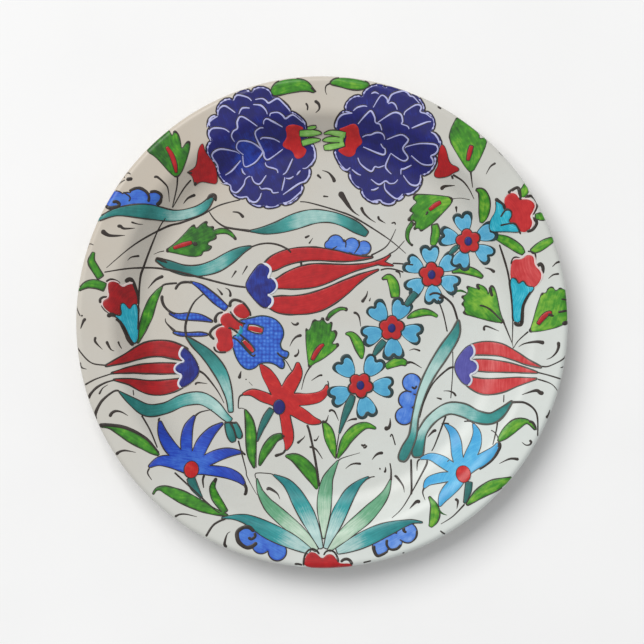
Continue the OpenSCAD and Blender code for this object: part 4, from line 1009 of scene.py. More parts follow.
STROKES = {
    "left_carnation_lines": ("lavender", alike((0.5, 1.05, 0.5), [
        [(-45, 112.5), (-43, 115.2), (-38, 114.2), (-35.7, 112.3)],
        [(-34, 113), (-30.5, 113.5), (-28.5, 112.5), (-27, 111.3), (-23, 113.5), (-21, 112.5),
         (-16, 107)], [(-35, 110.5), (-31, 110), (-28.5, 107.5), (-27.8, 105.5)],
        [(-42.3, 105.5), (-40.5, 108.6), (-36.7, 108.7)],
        [(-53, 105), (-52.7, 107), (-51.5, 109), (-49, 109.7), (-44, 106.3)],
        [(-58, 98.8), (-58, 100.5), (-56, 102.8), (-53, 104.5)],
        [(-56.5, 92), (-57.5, 95), (-57, 97), (-55, 98.5), (-50, 98.2), (-47, 96.4)],
        [(-44.5, 91.7), (-46, 94.5), (-45, 97), (-43, 98.5), (-43, 102), (-40.5, 104.3), (-32.8, 99.5)],
        [(-40, 85.3), (-43.5, 88.5), (-42, 92), (-36, 91.6), (-30.5, 87.5), (-32, 84), (-35, 81),
         (-39.5, 79.5), (-40.5, 85)],
        [(-29.7, 98.8), (-32, 98.5), (-34, 95.5), (-30, 87), (-29.7, 85), (-28.8, 83.3), (-27.5, 83),
         (-25, 84.5), (-20, 88.3)],
        [(-29.7, 100.5), (-29.5, 102.3), (-28, 103.3), (-25, 102), (-20, 99.3)],
        [(-31.5, 93), (-30, 94), (-25, 93.5), (-21.5, 91.8)],
        [(-26.5, 104.5), (-26, 106), (-22.5, 106.5), (-20, 105), (-18.5, 103.5), (-16, 105), (-14, 105),
         (-9.5, 101.5)], [(-49.5, 75), (-46, 77.3), (-41.5, 82.5)],
        [(-42, 85.8), (-44.5, 87), (-52, 88), (-56, 85), (-53.3, 80), (-53, 77.5), (-52, 75.5)],
        [(-41, 78.5), (-40.3, 76.5), (-39, 75.2)], [(-29, 81.5), (-28, 79.5), (-23.3, 78), (-22.5, 76)],
        [(-15, 83.5), (-18, 77), (-20, 75.3)], [(-10, 78.5), (-7.5, 79), (-3.5, 84), (-4.5, 90.5)],
        [(-11, 77.5), (-13, 75)],
        [(-51.5, 71.5), (-50, 70.7), (-48, 70.5), (-46.7, 69.5), (-46.3, 67.5), (-45, 66.3),
         (-43, 66.5), (-40, 70), (-39.3, 72.5), (-38, 74), (-36.5, 74.5)],
        [(-36, 74.5), (-35, 72), (-33.5, 70.7), (-31.5, 70.8), (-28.5, 75)],
        [(-32, 69.5), (-31, 68), (-28.5, 68.2), (-26, 67.5), (-25, 66), (-22, 66.3)],
        [(-42, 63.5), (-38.5, 63.9), (-37.3, 62.5), (-35.5, 61.3), (-33.5, 61.5), (-31.8, 63.5),
         (-31, 66)], [(-6, 75), (-8.5, 72), (-12, 70.5), (-20, 65)],
        [(-10.3, 69.5), (-10.5, 67), (-16, 62), (-20, 60.7)], [(-19, 74), (-19.3, 72), (-20.5, 67)],
        [(-18.5, 73.5), (-16.5, 73.3), (-14.5, 74.5)],
    ])),
    "right_carnation_lines": ("lavender", alike((0.5, 1.05, 0.5), [
        [(15.8, 107.3), (18, 109), (21, 109.8), (23, 109.5)],
        [(18.3, 100.8), (22.5, 105.5), (25, 107.2), (26.8, 104), (27, 102), (28, 101), (29.5, 100.5),
         (30.5, 97.5)],
        [(20.5, 94.3), (22.5, 95.2), (25, 95.5), (27.5, 96.5), (30, 96.3), (31.5, 95), (32, 93)],
        [(21, 89.5), (31, 85.5), (32.3, 88), (31, 89.3), (30, 91)], [(12, 107), (15.5, 106.2)],
        [(7.5, 100), (8, 103), (10.5, 105.5), (15.5, 106.2)],
        [(9, 80), (11, 78), (13, 77.8), (14.5, 79)],
        [(18.3, 84), (20, 80.5), (25, 77), (27, 79.3), (29, 79), (32, 80)],
        [(15.3, 78), (18, 75.8), (20, 75)], [(25, 116), (27, 116.7), (29, 115.8)],
        [(26, 109), (30, 115), (33, 113.5), (33.5, 111.5), (35.5, 115.5), (41, 117.3), (43.5, 116.3),
         (44.8, 114.8), (46.5, 114.3), (50, 110.5)],
        [(33.5, 110.8), (35.5, 111.5), (37.3, 110.3), (38.3, 107.8)],
        [(41.7, 105), (42.5, 107), (47, 110), (49.5, 110.3), (50.5, 109), (50, 106.8), (53, 105.7),
         (55.8, 103.5)], [(45.5, 98.5), (53, 101.5), (55.5, 101.8)],
        [(28, 101.2), (36, 106.2), (40, 105.5), (41, 102), (40.5, 100.7), (43.5, 99.5), (44.3, 98)],
        [(33, 93), (40, 95.3), (43.5, 93.5), (43.7, 92), (41.3, 88.5), (43.7, 84.5), (43.5, 83),
         (42, 82.3), (39.5, 83.2), (35, 86.3)],
        [(42, 88.5), (43.5, 89.5), (50, 90.8), (57, 90.3), (58.8, 88.8), (58.8, 87), (57.5, 85.5),
         (55.5, 84.5), (56.5, 82.5), (56, 80.3), (51, 80.7), (45.5, 85)],
        [(55.5, 96.5), (57.5, 95.2), (59, 93), (59.5, 91)],
        [(35, 86), (32.5, 80), (33.5, 77.5), (35.5, 75.5)],
        [(40.3, 75.3), (40.5, 78), (42, 78.3), (45.8, 80.2)],
        [(25, 73), (29, 70.3), (32.5, 72), (34.5, 70.8), (37, 71), (38.8, 72.8)],
        [(25, 67.5), (27, 67.7), (29, 68.8)], [(32, 72), (32.5, 67.5), (38, 63), (41.3, 65.5)],
        [(41.5, 75), (44, 71.5), (46, 70), (48.5, 69.8), (50, 71.5), (50.5, 75)],
        [(25, 61.5), (29.5, 62.3), (31, 61), (34, 60.2), (36.5, 61), (37.5, 62.3)],
    ])),
    "upper_left_strokes": ("ink", [
        ((0.4, 1.3, 0.7), [(-109.6, 27.5), (-95, 39.7), (-80, 48.3), (-71.7, 50.8), (-61.7, 54.6),
         (-52.5, 59.6), (-41.7, 62.5)]),
        ((0.6, 1.3, 0.9), [(-80, 53.2), (-84.5, 45), (-90.7, 29), (-93, 20), (-94.2, -4)]),
        ((0.7, 1.3, 1), [(-110.7, 25.3), (-95, 27.5), (-78.3, 26.7), (-49.7, 19.5), (-38.7, 17.7)]),
        ((0.3, 0.7), [(-86, 34.5), (-83.3, 35.7), (-80.5, 36.3)]),
        ((1, 0.6), [(-73.5, 74), (-74, 68.3), (-76.4, 58.3)]),
        ((1, 0.6), [(-66.7, 72.5), (-70.8, 67.5), (-76.2, 58.3)]),
        ((1.5, 0.3), [(-85.3, 73.3), (-83.7, 73.7), (-79.3, 69.7), (-78.2, 66.7), (-77.8, 61)]),
        ((2.1,), [(-99.5, 72.4), (-96.2, 72.8)]),
        ((0.6,), [(-100, 72.2), (-102.5, 70.8), (-104.8, 68.8)]),
        ((0.7,), [(-100.2, 73.2), (-100.9, 74.8), (-98.6, 75.8), (-97.2, 75)]),
        ((0.4, 2), [(-70.8, 60.4), (-68.3, 63.3), (-64.6, 65)]),
        ((1.2, 0.3), [(-97, 50.8), (-93.5, 49.8), (-91, 49.7)]),
        ((2.1, 0.3), [(-104, 48.5), (-102.5, 48.7), (-100.5, 47.5), (-95, 47.7)]),
        ((2.9, 0.3), [(-112, 46.5), (-108, 44), (-100, 44)]),
        ((0.3, 1.5), [(-99, 31.2), (-97, 33), (-93, 33.7)]),
        ((1, 0.4), [(-119.8, 37.5), (-119.3, 39.3), (-117.5, 39.7), (-116, 39)]),
        ((0.6, 1.8), [(-45.8, 56.3), (-42.5, 55.8), (-40, 53.3)]),
        ((0.6, 1.6), [(-57.9, 56.7), (-55, 52.5), (-50.8, 49.2), (-46.7, 47.9), (-36.7, 46.5)]),
        ((0.9, 1.2), [(-36.3, 38.3), (-31.7, 39.8), (-26.7, 40.2), (-21.7, 39.2), (-17.5, 37.1),
         (-15.8, 35.4)]), ((1.6, 0.9), [(-8.8, 43), (-6.3, 44.2)]),
        ((1.1, 0.3), [(-6.7, 40), (-4.6, 43)]),
        ((1.3, 0.7), [(-8.3, 111.3), (-7.3, 109.6), (-7.5, 107.5)]),
        ((2.1, 0.4), [(-3.8, 112.5), (-1.7, 110.8), (-1.4, 108.3), (-3.3, 106.3)]),
        ((1.6, 0.9), [(-2.5, 75.4), (-0.4, 73.3)]),
        ((0.7, 1.1, 0.4), [(-11.3, 61.5), (-5.8, 60.8), (8.3, 56.7), (17.5, 52.9), (33.3, 42.9),
         (42.9, 35)]), ((0.3, 1.3), [(-46.3, 22.5), (-43.8, 26.3)]),
        ((0.3, 1.1), [(-40.8, 24.2), (-38.1, 28.8)]),
        ((0.3, 1.5), [(-53.8, 17.3), (-52.3, 15.8), (-50.8, 13.7)]),
        ((0.3, 1.7), [(-49.5, 17.5), (-47.5, 16.3), (-46.8, 14.5), (-47, 12.8)]),
        ((1.5,), [(-75, 16.5), (-73.5, 19), (-71, 20.3), (-66, 20.3)]),
        ((0.8, 1.5), [(-60.2, 14.7), (-65, 10.5), (-67.8, 5.3), (-69.8, -2), (-69.3, -8)]),
        ((0.3, 2.1), [(-89, 17), (-85, 21.5), (-81, 23.5)]),
        ((1.2,), [(-82, 18), (-80, 19.3), (-74, 19.9)]),
        ((1.8, 1.1), [(-81.7, 13.7), (-81.7, 11), (-80.5, 8), (-78, 5.5), (-75, 4)]),
        ((0.4, 1.6), [(-80, 2), (-79.5, -0.5), (-75, -5)]), ((1.3,), [(-10.8, 31.5), (-10.5, 28.5)]),
    ]),
    "left_side_strokes": ("ink", [
        ((0.6,), [(-125, 8), (-123.8, 5), (-122.8, 3)]), ((1.1,), [(-122.5, 3), (-121.5, 3.4)]),
        ((2.1, 0.4), [(-119.8, 1.2), (-121, 0.8), (-122.7, -3.5)]),
        ((1.7, 0.3), [(-115, -7.5), (-115.2, -10), (-111.5, -14)]),
        ((1.8, 0.3), [(-109.6, -9.7), (-107.5, -13.7), (-105.5, -14.8)]),
        ((1.1, 0.4), [(-103.7, -9.8), (-103, -11.8), (-101.8, -13.7)]),
        ((0.8,), [(-109.5, -22), (-116, -21.2), (-120, -18.5), (-124.6, -12.8)]),
        ((1.6, 0.3), [(-123.2, -20.5), (-122.3, -23), (-119.5, -24)]),
        ((0.7, 1), [(-105.8, -25.9), (-115, -29), (-120.5, -32)]),
        ((0.8, 1.8), [(-105, -29.3), (-110, -30.8), (-114.5, -33.3), (-117.5, -36.5), (-118.8, -39)]),
        ((0.3, 1.2), [(-108.7, -31.8), (-111.5, -33.7), (-113.3, -36.8)]),
        ((1.1, 1.9), [(-103, -35), (-106, -35.3), (-112, -40.3), (-115.3, -47), (-114.8, -49.5)]),
        ((2.1, 0.3), [(-107.8, -48.3), (-107, -46.5), (-105, -45.3), (-102, -45.7), (-98.5, -47.7)]),
        ((2.2, 1.1), [(-113.5, -53), (-110, -52.3), (-100, -53.7), (-90, -58.7), (-83, -66.5)]),
        ((1.8, 0.3), [(-104.7, -67.5), (-103, -66), (-100, -65.3), (-94.5, -66.3)]),
        ((1, 0.8), [(-91.8, -47.5), (-87.5, -55), (-83.7, -64)]),
        ((0.6,), [(-96.2, -34.5), (-95.8, -37.5)]), ((1.1,), [(-83.5, -50.5), (-82.8, -48.8)]),
        ((1.3, 0.4), [(-62.9, -25), (-59.5, -27.3), (-53.5, -35), (-50, -41.5)]),
        ((1.3, 0.3), [(-64.7, -32.2), (-63.7, -31), (-58.5, -31.5)]),
        ((2.5, 0.4), [(-42.3, -29), (-42, -27.5), (-41.3, -25)]), ((1.1,), [(-38.8, -29.3)]),
        ((0.3,), [(-37.5, -30.5), (-35.5, -32.5)]),
        ((1.1, 0.4), [(-87.7, -74.2), (-88.6, -76.8), (-86.5, -80.3)]),
        ((1.3,), [(-109.8, 20.5), (-107.5, 21.7), (-104.8, 21), (-102.7, 19.5)]),
        ((2.7, 0.9), [(-99.8, 20), (-98.8, 21.5), (-96.7, 21), (-94.2, 14), (-93.9, 9)]),
        ((1.7, 0.9), [(-112.6, 9.5), (-112.7, 11.5), (-111, 12.7), (-108.6, 12.6)]),
        ((0.7,), [(-112.2, 8.5), (-110.5, 6), (-108.5, 4.6)]),
        ((2.7, 1.6), [(-109, 2.5), (-107.5, 3.8), (-105, 3.3)]),
        ((1.3, 2.2), [(-105, 1.5), (-102.5, -0.5), (-99, -8), (-97, -11), (-96, -11.5)]),
    ]),
    "hyacinth_strokes": ("ink", [
        ((2, 0.9), [(-47, 7.5), (-46.8, 10), (-45, 11.3), (-42, 10.7), (-39.5, 9), (-37, 5.5),
         (-36.5, 3)]), ((2.2, 1.1), [(-54.2, -0.5), (-54.5, 2), (-53, 4.3), (-50.5, 5)]),
        ((1.6,), [(-55, -9), (-57.2, -6.5), (-56.3, -4), (-53.5, -2), (-51, -1.2)]),
        ((1.1,), [(-55.3, -12.5), (-54.5, -14.5), (-52.5, -15.4), (-49, -15.3)]),
        ((1.1,), [(-47, 5.5), (-45, 2.5), (-42, 0), (-39, -1)]),
        ((1.1,), [(-48, -3), (-45, -4), (-37, -10.5)]),
        ((1,), [(-46, -8), (-43, -9.5), (-36, -17), (-34, -16.5)]),
        ((1.1,), [(-18.5, -18.3), (-21, -17.5), (-23, -15.5)]),
        ((0.6,), [(-20, -18.7), (-18, -20.5), (-15.5, -25)]),
    ]),
    "middle_strokes": ("ink", [
        ((0.3, 2.1), [(-15.8, 0), (-14.5, -1.2), (-13, -1.3), (-12, -0.2)]),
        ((0.3, 1.8), [(-16.5, -12.5), (-15, -9.5), (-13, -7.5), (-10.3, -6.7)]),
        ((0.4, 1.7), [(-12.2, -13.7), (-12, -15.5), (-13, -17), (-14.3, -17.5)]),
        ((2.1, 0.3), [(20.3, 10), (22.7, 13.5), (23.3, 16)]),
        ((1.1, 0.4), [(24.2, 10.5), (24.8, 12.5)]),
        ((1.5, 0.3), [(16, 4.7), (17.5, 4.5), (19, 2.5), (19.8, -2.5)]),
        ((0.9, 0.4), [(-5.8, -22.4), (-8.7, -27.6), (-10.5, -34.6)]),
        ((1.1, 0.4), [(25, 34), (33, 38.8), (37.8, 47.5)]),
        ((0.9, 0.4), [(34, 34.5), (38, 37), (42.3, 41.7)]),
        ((0.9,), [(36, 30), (40, 29.8), (46.7, 29.2)]),
        ((0.9,), [(29.8, 26.5), (33.3, 27.3), (37.5, 26.8), (41.7, 25.4)]),
        ((1.7, 0.3), [(37.5, 26.3), (39.6, 25), (40, 22.5)]),
        ((0.3, 1.2), [(44.5, -14.6), (47, -13.8), (50.3, -14.8)]),
        ((1.5, 0.3), [(43, -21), (46, -20.7), (51, -23.5)]), ((1.1, 0.6), [(5, 37), (7.8, 38.7)]),
        ((1.1, 0.6), [(11, 42.3), (12.2, 40.5), (12, 38)]),
        ((1.1, 0.6), [(18.5, 42), (19, 39), (16.5, 35)]),
    ]),
    "upper_right_strokes": ("ink", [
        ((1.1, 0.3), [(4.2, 121.3), (2.1, 120), (1.7, 117.5), (2.5, 115.4)]),
        ((0.3, 2.2), [(0, 77.5), (3.3, 76.3), (5.8, 73.3), (6.3, 71.3)]),
        ((3.6, 0.3), [(9, 66.5), (15, 57.5), (19.2, 54.2)]), ((1.1, 0.6), [(0.5, 64.3), (3.3, 64)]),
        ((1.8, 0.3), [(20, 58.8), (21.3, 55.8), (24.2, 52.9), (27.5, 50.8)]),
        ((1.7, 0.3), [(28.8, 54.2), (29.2, 52.5), (32.5, 50.4)]),
        ((0.9,), [(35.4, 50.4), (37.1, 50.8), (37.5, 49.6)]),
        ((1.1, 0.4), [(75.6, 76.2), (76.2, 71.7), (76.7, 68.3)]),
        ((1.2, 0.4), [(66.7, 75), (71.7, 71.7), (75, 67.5), (77.5, 62.5)]),
        ((0.4,), [(66.3, 62.9), (70.8, 63.2), (75.4, 62.3)]),
        ((2.2, 0.3), [(60.8, 67.5), (62.5, 69.2), (67.9, 69.6)]),
        ((1.6, 0.3), [(68.5, 59.2), (68.8, 55.8)]),
        ((0.3, 1.3), [(83.3, 75), (85.6, 79), (88.3, 80.8)]), ((0.7,), [(90, 86.5), (92, 84.5)]),
        ((1.3,), [(58.8, 109.7), (60.6, 108.3)]), ((0.4, 2), [(83, 27.7), (86, 27), (88.3, 25.3)]),
        ((1, 1.2, 0.4), [(90.4, 39.5), (94.8, 25), (97.2, 8), (97, -11)]),
        ((0.4, 1.3), [(117, 28), (119, 30), (121, 30.7)]),
        ((0.3, 1.5), [(115, 22), (117.5, 24), (120.5, 24.5)]),
        ((1.8,), [(94.5, 65.5), (99.5, 68.2), (101, 62)]),
        ((1.5,), [(103, 63.3), (106.5, 64), (109, 61.5), (109.5, 59.5), (107, 54.5)]),
        ((1.8,), [(106.5, 52.8), (108.5, 51.8), (109, 49.8), (107, 47), (104, 46)]),
        ((2, 1.1), [(88, 62.7), (92.3, 59.5), (92.8, 57.3)]),
        ((1,), [(91, 53.5), (93.5, 57.2), (95.5, 56.8), (96.5, 55.5)]),
        ((1,), [(91, 49.3), (97, 50.2), (99, 48.8), (101, 44.5)]),
        ((0.9,), [(96.3, 29.5), (97, 32), (98.5, 33), (101, 32.3)]),
        ((0.9,), [(104.5, 36), (107, 35.5), (108.5, 34), (108.3, 30)]),
        ((2,), [(109, 28), (111, 29.5), (112.3, 27.5), (112, 24.5)]),
        ((2.2, 0.8), [(98.3, 0), (99.8, -1.3), (101.7, -0.5), (102.3, 7), (103.5, 11), (106, 15.5)]),
    ]),
    "right_side_strokes": ("ink", [
        ((1,), [(80.5, 8.5), (83.5, 7.8), (87, 5.5), (91.8, 0.7)]), ((1.6,), [(79, 19), (80.5, 16.5)]),
        ((1.7,), [(85.8, 18), (86.3, 15.5), (87, 13)]),
        ((1.1, 0.3), [(92.3, 1), (97, -11), (97.2, -13.5)]),
        ((0.9, 0.4), [(105, -4.8), (100, -9.5), (97.5, -13.5)]), ((1,), [(121.5, 11.7), (124.5, 11.2)]),
        ((1.3,), [(120, 5), (124.5, 5.8)]), ((2.2,), [(122, -1), (125, 0)]),
        ((1.3,), [(54.8, 13.7), (57, 14.7), (60.5, 14), (66.5, 9), (69.3, 1)]),
        ((1.8,), [(59.5, 12.3), (62.5, 12.8)]), ((0.8,), [(59.3, 11.5), (62, 4), (64, -5)]),
        ((0.6,), [(66.7, 16), (67, 12.5)]), ((0.6,), [(66.8, -15), (66.8, -25), (65.8, -39)]),
        ((1.5, 0.3), [(83, -4.5), (82.8, -2.8), (84.3, -2.2), (90.5, -4.7)]),
        ((0.3, 2.2), [(100, -12.8), (103, -11), (109, -10), (113, -10.7)]),
        ((2, 0.3), [(120, -10), (120.2, -12.5), (119, -15.5), (116.5, -18), (114, -19)]),
        ((0.8,), [(111.5, -22.5), (115, -22.5), (121.5, -19.5), (124.3, -17)]),
        ((0.4, 0.9), [(121, -23.3), (123.3, -22.7)]),
        ((0.8,), [(109, -25.5), (115, -27), (121.5, -29)]),
        ((0.9, 0.4), [(109.5, -29), (116.5, -31.5), (120.5, -36)]),
        ((0.3, 2.5), [(101.5, -37), (108.5, -34.8), (111, -36), (112.7, -36)]),
        ((1.5, 0.7), [(96.6, -40.8), (103.5, -41.2), (109, -46.5), (109.6, -58)]),
        ((2.2, 0.3), [(113.8, -48.7), (115, -47.5), (115.8, -44.5)]),
        ((1.8, 0.4), [(105, -50.5), (107, -51), (108.5, -53), (109, -55)]),
        ((1.5, 0.3), [(105.3, -60), (106.3, -61), (105.5, -62.3), (103.5, -62.5), (101.5, -61)]),
        ((0.3, 1.8), [(90, -72), (95.5, -69.5), (100, -69.8)]), ((0.6,), [(92.7, -37), (92.5, -41)]),
        ((1, 0.6), [(89.3, -51), (88.7, -55), (86.8, -62.5)]),
        ((0.6,), [(86, -55), (88, -56.3), (89.3, -58.5), (89.8, -61)]),
        ((2, 0.9), [(89.8, -61), (90.2, -64), (86.5, -70), (80, -75)]),
        ((1.3, 0.4), [(67.7, -23), (64.2, -24.1), (57, -31), (52.5, -40), (50, -49)]),
        ((0.3, 1.3), [(62, -35.2), (65, -35.3), (67.3, -36.3), (68.5, -38)]),
        ((0.6, 1.2), [(58.5, -38.7), (61.3, -39.5)]),
        ((1.3,), [(45.8, -33), (47.3, -34), (48.5, -32.5)]),
        ((0.3, 2.1), [(53.8, -59), (57, -55.7), (58.5, -55.7)]),
        ((1.1, 0.7), [(63.3, -48), (58, -62), (56, -66)]),
        ((1.1, 0.4), [(53.8, -70.5), (52.3, -75), (42, -93), (35.5, -99.7)]),
        ((1.2,), [(45.5, -70), (45.7, -85), (45.2, -88)]),
        ((0.9,), [(61, -52), (63, -51.8), (65, -52)]),
        ((1.1, 0.4), [(50, -70), (48.8, -71.5), (48.5, -76)]),
        ((0.9,), [(72.5, -50.8), (75.9, -50.6), (77.6, -52)]),
        ((1.1, 0.3), [(52, -84.6), (51.3, -87), (52.5, -90.7)]),
        ((1.8, 0.3), [(67.5, -90), (69, -91), (68.5, -95)]),
        ((1.1, 0.4), [(72.5, -92.5), (66.5, -98.7), (60.3, -102.7)]),
        ((0.9,), [(60, -106), (61.5, -107.2), (62.7, -107.8)]),
        ((0.9,), [(40.8, -117.5), (42, -117.3)]), ((0.3, 2.6), [(44.5, -95), (48, -91.5), (50, -91.7)]),
        ((1.7, 0.3), [(37, -79), (38, -79), (41.3, -83.5), (42, -87)]),
        ((0.7, 1.1), [(34.7, -72), (35.3, -76), (35.2, -81)]), ((1.8,), [(29.6, -75)]),
        ((1.7, 0.4), [(31.9, -77), (32.5, -75.5), (32.3, -74)]),
        ((2.7, 0.3), [(31.8, -54.5), (34, -54), (34.8, -52), (34.8, -49)]),
        ((0.9, 0.7), [(34.8, -58.8), (35.8, -57.5), (37.5, -63)]),
        ((0.3, 2.1), [(25.5, -70.5), (27.5, -68), (29.5, -67), (31.3, -67)]),
    ]),
    "lower_middle_strokes": ("ink", [
        ((1.1, 0.4), [(-40.3, -37), (-42.3, -38.5), (-42.7, -43.7), (-41, -44), (-39, -44.7)]),
        ((1, 0.3), [(-42.8, -60.5), (-39, -75), (-38.3, -79), (-34, -87), (-32.5, -88.5)]),
        ((1.3, 0.3), [(-64.8, -48), (-62, -46), (-56, -44.7)]), ((1.1,), [(-41, -66.5), (-39, -68)]),
        ((1.6, 2), [(-39.8, -82.5), (-38.7, -85), (-39, -87.5), (-40, -87.8)]),
        ((1.1,), [(-50, -51.5), (-47, -51.3), (-44, -51.7)]),
        ((1.1,), [(-46.5, -51.5), (-45, -55), (-43.8, -59.5)]), ((2.2,), [(-41, -58.5)]),
        ((0.7,), [(3.3, -33), (3.2, -31), (2.8, -30)]),
        ((1.7, 0.3), [(0, -50.8), (1.3, -51.2), (2.5, -50), (3.3, -47.5)]),
        ((1.1, 1.8), [(-18.7, -65), (-20, -67), (-24.2, -68.5)]), ((3.4,), [(-19.5, -58.3)]),
        ((1.2, 1.5), [(-7.7, -52.5), (-6.3, -56.5), (-3.5, -70), (-1.5, -84)]),
        ((1.3, 0.4), [(-6.5, -63.8), (-4.5, -64.2), (-2.5, -65.7), (0.3, -70)]),
        ((1.7, 0.3), [(-12.7, -62), (-9.5, -59.3), (-8.7, -58)]),
        ((1.3, 0.3), [(-4.3, -60.2), (-3, -60.4), (-1.5, -58)]),
        ((0.3, 1.3), [(-5.5, -30), (-1.5, -27.4), (0.3, -27.3)]),
        ((1.5, 0.3), [(3.7, -46), (4.5, -45), (6.5, -46), (8.5, -50.5)]),
        ((0.3, 1.7), [(12.5, -51), (15, -49.8), (18, -49.5)]),
        ((1.2,), [(20, -62.5), (21, -63.2), (22.3, -62.5)]),
        ((1,), [(21, -64), (22, -64.2), (23, -63)]),
        ((0.3, 1.5), [(12, -75), (14.5, -73), (17, -72.3), (20, -72.5)]),
        ((0.7, 0.3), [(8.3, -70.8), (11, -69.3), (19.5, -66.8)]),
        ((0.7,), [(8.7, -57), (7.3, -66), (7, -70)]), ((0.4,), [(-33.5, -61), (-33.5, -74.5)]),
        ((0.6,), [(-33.8, -80), (-33.7, -77.3), (-27, -77.4), (-25, -78)]),
        ((2.1, 0.3), [(-28, -86), (-27, -85), (-23, -87.5), (-21.5, -90.5)]),
        ((0.6,), [(22, -80.7), (25, -79.3), (27, -79)]),
        ((1, 0.7), [(-75, -76.5), (-56, -94), (-52, -97)]),
        ((1.5, 0.6), [(-60, -78), (-60.7, -80.5), (-60.2, -84.5)]),
        ((1.8,), [(-54, -79.5), (-55, -82)]),
        ((1.3, 0.3), [(-74.8, -99), (-72.5, -97.8), (-69, -97.7), (-63.5, -99)]),
        ((1.1, 1.3), [(-49, -99.8), (-55, -103), (-59, -109)]),
        ((1.9, 0.3), [(-48.3, -114.5), (-49.5, -112.8), (-48.3, -108), (-46.5, -106.5)]),
        ((2.2,), [(-34.5, -106.5), (-37, -104.3), (-40, -104.5), (-42.8, -106.5), (-43, -109.5),
         (-41.5, -112.5), (-38.5, -114.5), (-35.5, -114), (-33, -112)]),
        ((1.7,), [(-34.3, -107), (-34, -109), (-36, -110.3), (-37.5, -109.3)]),
        ((1.1,), [(-14, -123), (-12, -123), (-10, -123.5)]), ((0.9,), [(21, -122.3), (25, -121.3)]),
        ((1.1,), [(-9.4, -123.5), (-9, -119.5), (-7.5, -116.5), (-5.2, -115.3), (-3, -116),
         (-1.3, -118)]),
        ((1.1,), [(0.8, -118.5), (2, -116.7), (4, -116), (6.3, -117), (7.8, -119.5), (8.2, -122)]),
        ((1.6,), [(9.5, -122), (11, -120.7), (13, -120.5), (14.5, -121.5), (15.2, -123.2)]),
        ((2.2, 1.1), [(26.5, -113.5), (26.5, -116), (28.5, -118.8), (33.5, -116.5)]),
        ((1.6, 1.1), [(33, -110.5), (33, -113.5), (35, -115.5), (38, -115), (40, -113)]),
        ((0.8,), [(39.5, -110.5), (42, -112), (45, -112), (47.5, -109.5), (48, -106)]),
        ((1.6,), [(41.8, -104.5), (41.5, -106), (43, -107)]),
        ((2,), [(-106.5, 60.8), (-104.6, 61.2), (-103, 60), (-104, 58.6), (-108, 58), (-110, 59.2)]),
        ((0.9,), [(-101, 66), (-98, 64), (-97.5, 62.5), (-98.3, 61.3)]),
        ((1.6,), [(-98, 66.5), (-94, 68), (-90, 66.7), (-88, 64), (-88.3, 61)]),
        ((1.6,), [(-87.5, 66), (-84.5, 66.3), (-81.8, 64.5), (-82.5, 61.5), (-84.5, 59.7)]),
    ]),
    "green_tails": ("leaf", [
        ((1.2, 1.4, 0.8), [(67.8, 15.6), (71, 16), (74, 14.8)]),
        ((1.2, 1, 0.3), [(59, -95.2), (61, -97.2), (63.6, -98.2)]),
    ]),
    "dark_tips": ("ink", [
        ((0.8, 2.4, 2.6, 0.8), [(-58.8, 62.4), (-57.2, 64.2), (-55.2, 64.4), (-54.2, 61.6)]),
        ((1.2, 2.2, 0.8), [(-85, 32.4), (-82.2, 31.8), (-79, 30.2)]),
        ((1.6, 0.8), [(-5.6, 119.4), (-3, 116.8)]), ((1.4, 0.6), [(-66.2, 76), (-68.8, 76.2)]),
        ((1.8, 1.2), [(-64.6, 71.6), (-64.8, 69.4)]), ((1, 1.5), [(66, 74.8), (66.8, 72.8)]),
        ((1.8, 2.4, 1.6), [(-66.2, 40.6), (-65, 40), (-63.6, 39.4)]),
        ((1.4, 0.8), [(54.2, 56.6), (53, 54.6)]), ((1.8, 1), [(114.8, 4), (117.8, 3)]),
    ]),
    "hyacinth_windows": ("bright_red", [
        ((2.2, 3.2, 2.4), [(-38, -2.9), (-34, -3.7), (-30.2, -4.6)]),
        ((1.8, 2.6, 1.6), [(-40.2, -9.6), (-37.6, -12.3), (-35, -15.4)]),
    ]),
    "hyacinth_band": ("turquoise", [
        ((1.2, 2.2, 1.6), [(-41.8, -1.8), (-41.4, -4.6), (-43.6, -7.4)]),
    ]),
}
SHADOW_SHIFT = 0.62   # the dark line stands this far behind the light one
SHADOW_STEP = 1.5     # spacing of its points
SHADOW_WIDTHS = (0.2, 0.65, 0.2)
CALYX_OF = {"left_carnation_lines": (-12, 92), "right_carnation_lines": (14, 92)}


def beyond(points, calyx):
    """The line moved outward from the calyx, for the dark line behind a petal's light edge."""
    p = drawn(points, SHADOW_STEP)
    left = left_of(np.gradient(p, axis=0))
    facing = np.sign(np.mean(np.einsum("ij,ij->i", left, p - np.array(calyx))))
    return (p + SHADOW_SHIFT * (facing or 1) * left).tolist()


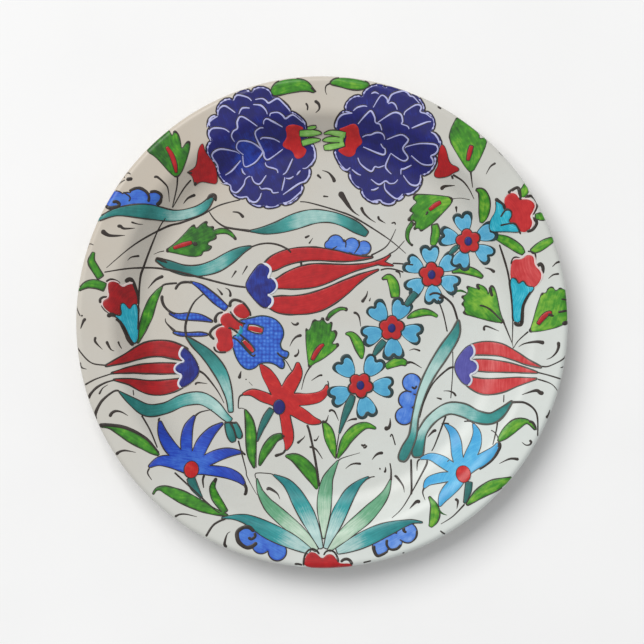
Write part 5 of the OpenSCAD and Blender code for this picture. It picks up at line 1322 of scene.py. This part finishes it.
# ---- building ----
back = back_material()
for name, node, material, slot in (
        ("plate_body", "clay_body", clay_material(), "clay"),
        ("slip_face", "white_slip", slip_material(), "white_slip"),
        ("glazed_back", "back_glaze", back, "clear_glaze"),
        ("glazed_foot_well", "foot_well_glaze", back, "clear_glaze")):
    revolve(name, node, material)
for node, node_look in LOOKS.items():
    field(node, node_look)
for region, (ink, strokes) in STROKES.items():
    if region in CALYX_OF:
        shadows = [(SHADOW_WIDTHS, beyond(points, CALYX_OF[region])) for _, points in strokes]
        brush_group(region + "_shadow", shadows, PAINTS["ink"])
    brush_group(region, strokes, PAINTS[ink])


# ---- floor, light and camera ----
def floor_material():
    """Matt pale paper, all but white."""
    g = Graph("paper_floor")
    tone = g.noise(g.place(), 0.01)
    g.surface({"Roughness": 0.9, "Specular IOR Level": 0.1,
               "Base Color": g.ramp(tone, [(0.3, (243, 243, 243)), (0.7, (246, 246, 246))])})
    return g.material


FLOOR = 3.0           # half the side of the floor, in metres as everything from here on
floor = bpy.data.objects.new("floor", bpy.data.meshes.new("floor"))
floor.data.from_pydata([(-FLOOR, -FLOOR, 0), (FLOOR, -FLOOR, 0), (FLOOR, FLOOR, 0),
                        (-FLOOR, FLOOR, 0)], [], [(0, 1, 2, 3)])
floor.data.materials.append(floor_material())
bpy.context.scene.collection.objects.link(floor)


def area_light(name, place, power, size, colour):
    """A square light that looks at the plate."""
    data = bpy.data.lights.new(name, "AREA")
    data.energy, data.size, data.color = power, size, colour
    lamp = bpy.data.objects.new(name, data)
    lamp.location = place
    lamp.rotation_euler = (-Vector(place)).to_track_quat("-Z", "Y").to_euler()
    bpy.context.scene.collection.objects.link(lamp)


area_light("window_light", place=(-1.75, 2.5, 4.1), power=210.0, size=3.5,
           colour=(1.0, 0.985, 0.965))
world = bpy.data.worlds.new("studio")
world.use_nodes = True
sky = world.node_tree.nodes["Background"].inputs
sky["Color"].default_value = (0.96, 0.98, 1.0, 1.0)
sky["Strength"].default_value = 0.46
bpy.context.scene.world = world
bpy.context.scene.view_settings.view_transform = "Standard"

RIM_TOP = 0.0205
CAMERA_UP = 2.2       # height of the camera over the rim
HALF_VIEW = 0.1636    # half the width of the view at the rim
camera = bpy.data.objects.new("camera", bpy.data.cameras.new("camera"))
camera.location = (0.0, 0.0, CAMERA_UP + RIM_TOP)
camera.data.sensor_width = 36
camera.data.lens = camera.data.sensor_width / 2 * CAMERA_UP / HALF_VIEW
camera.data.clip_end = 20
bpy.context.scene.collection.objects.link(camera)
bpy.context.scene.camera = camera
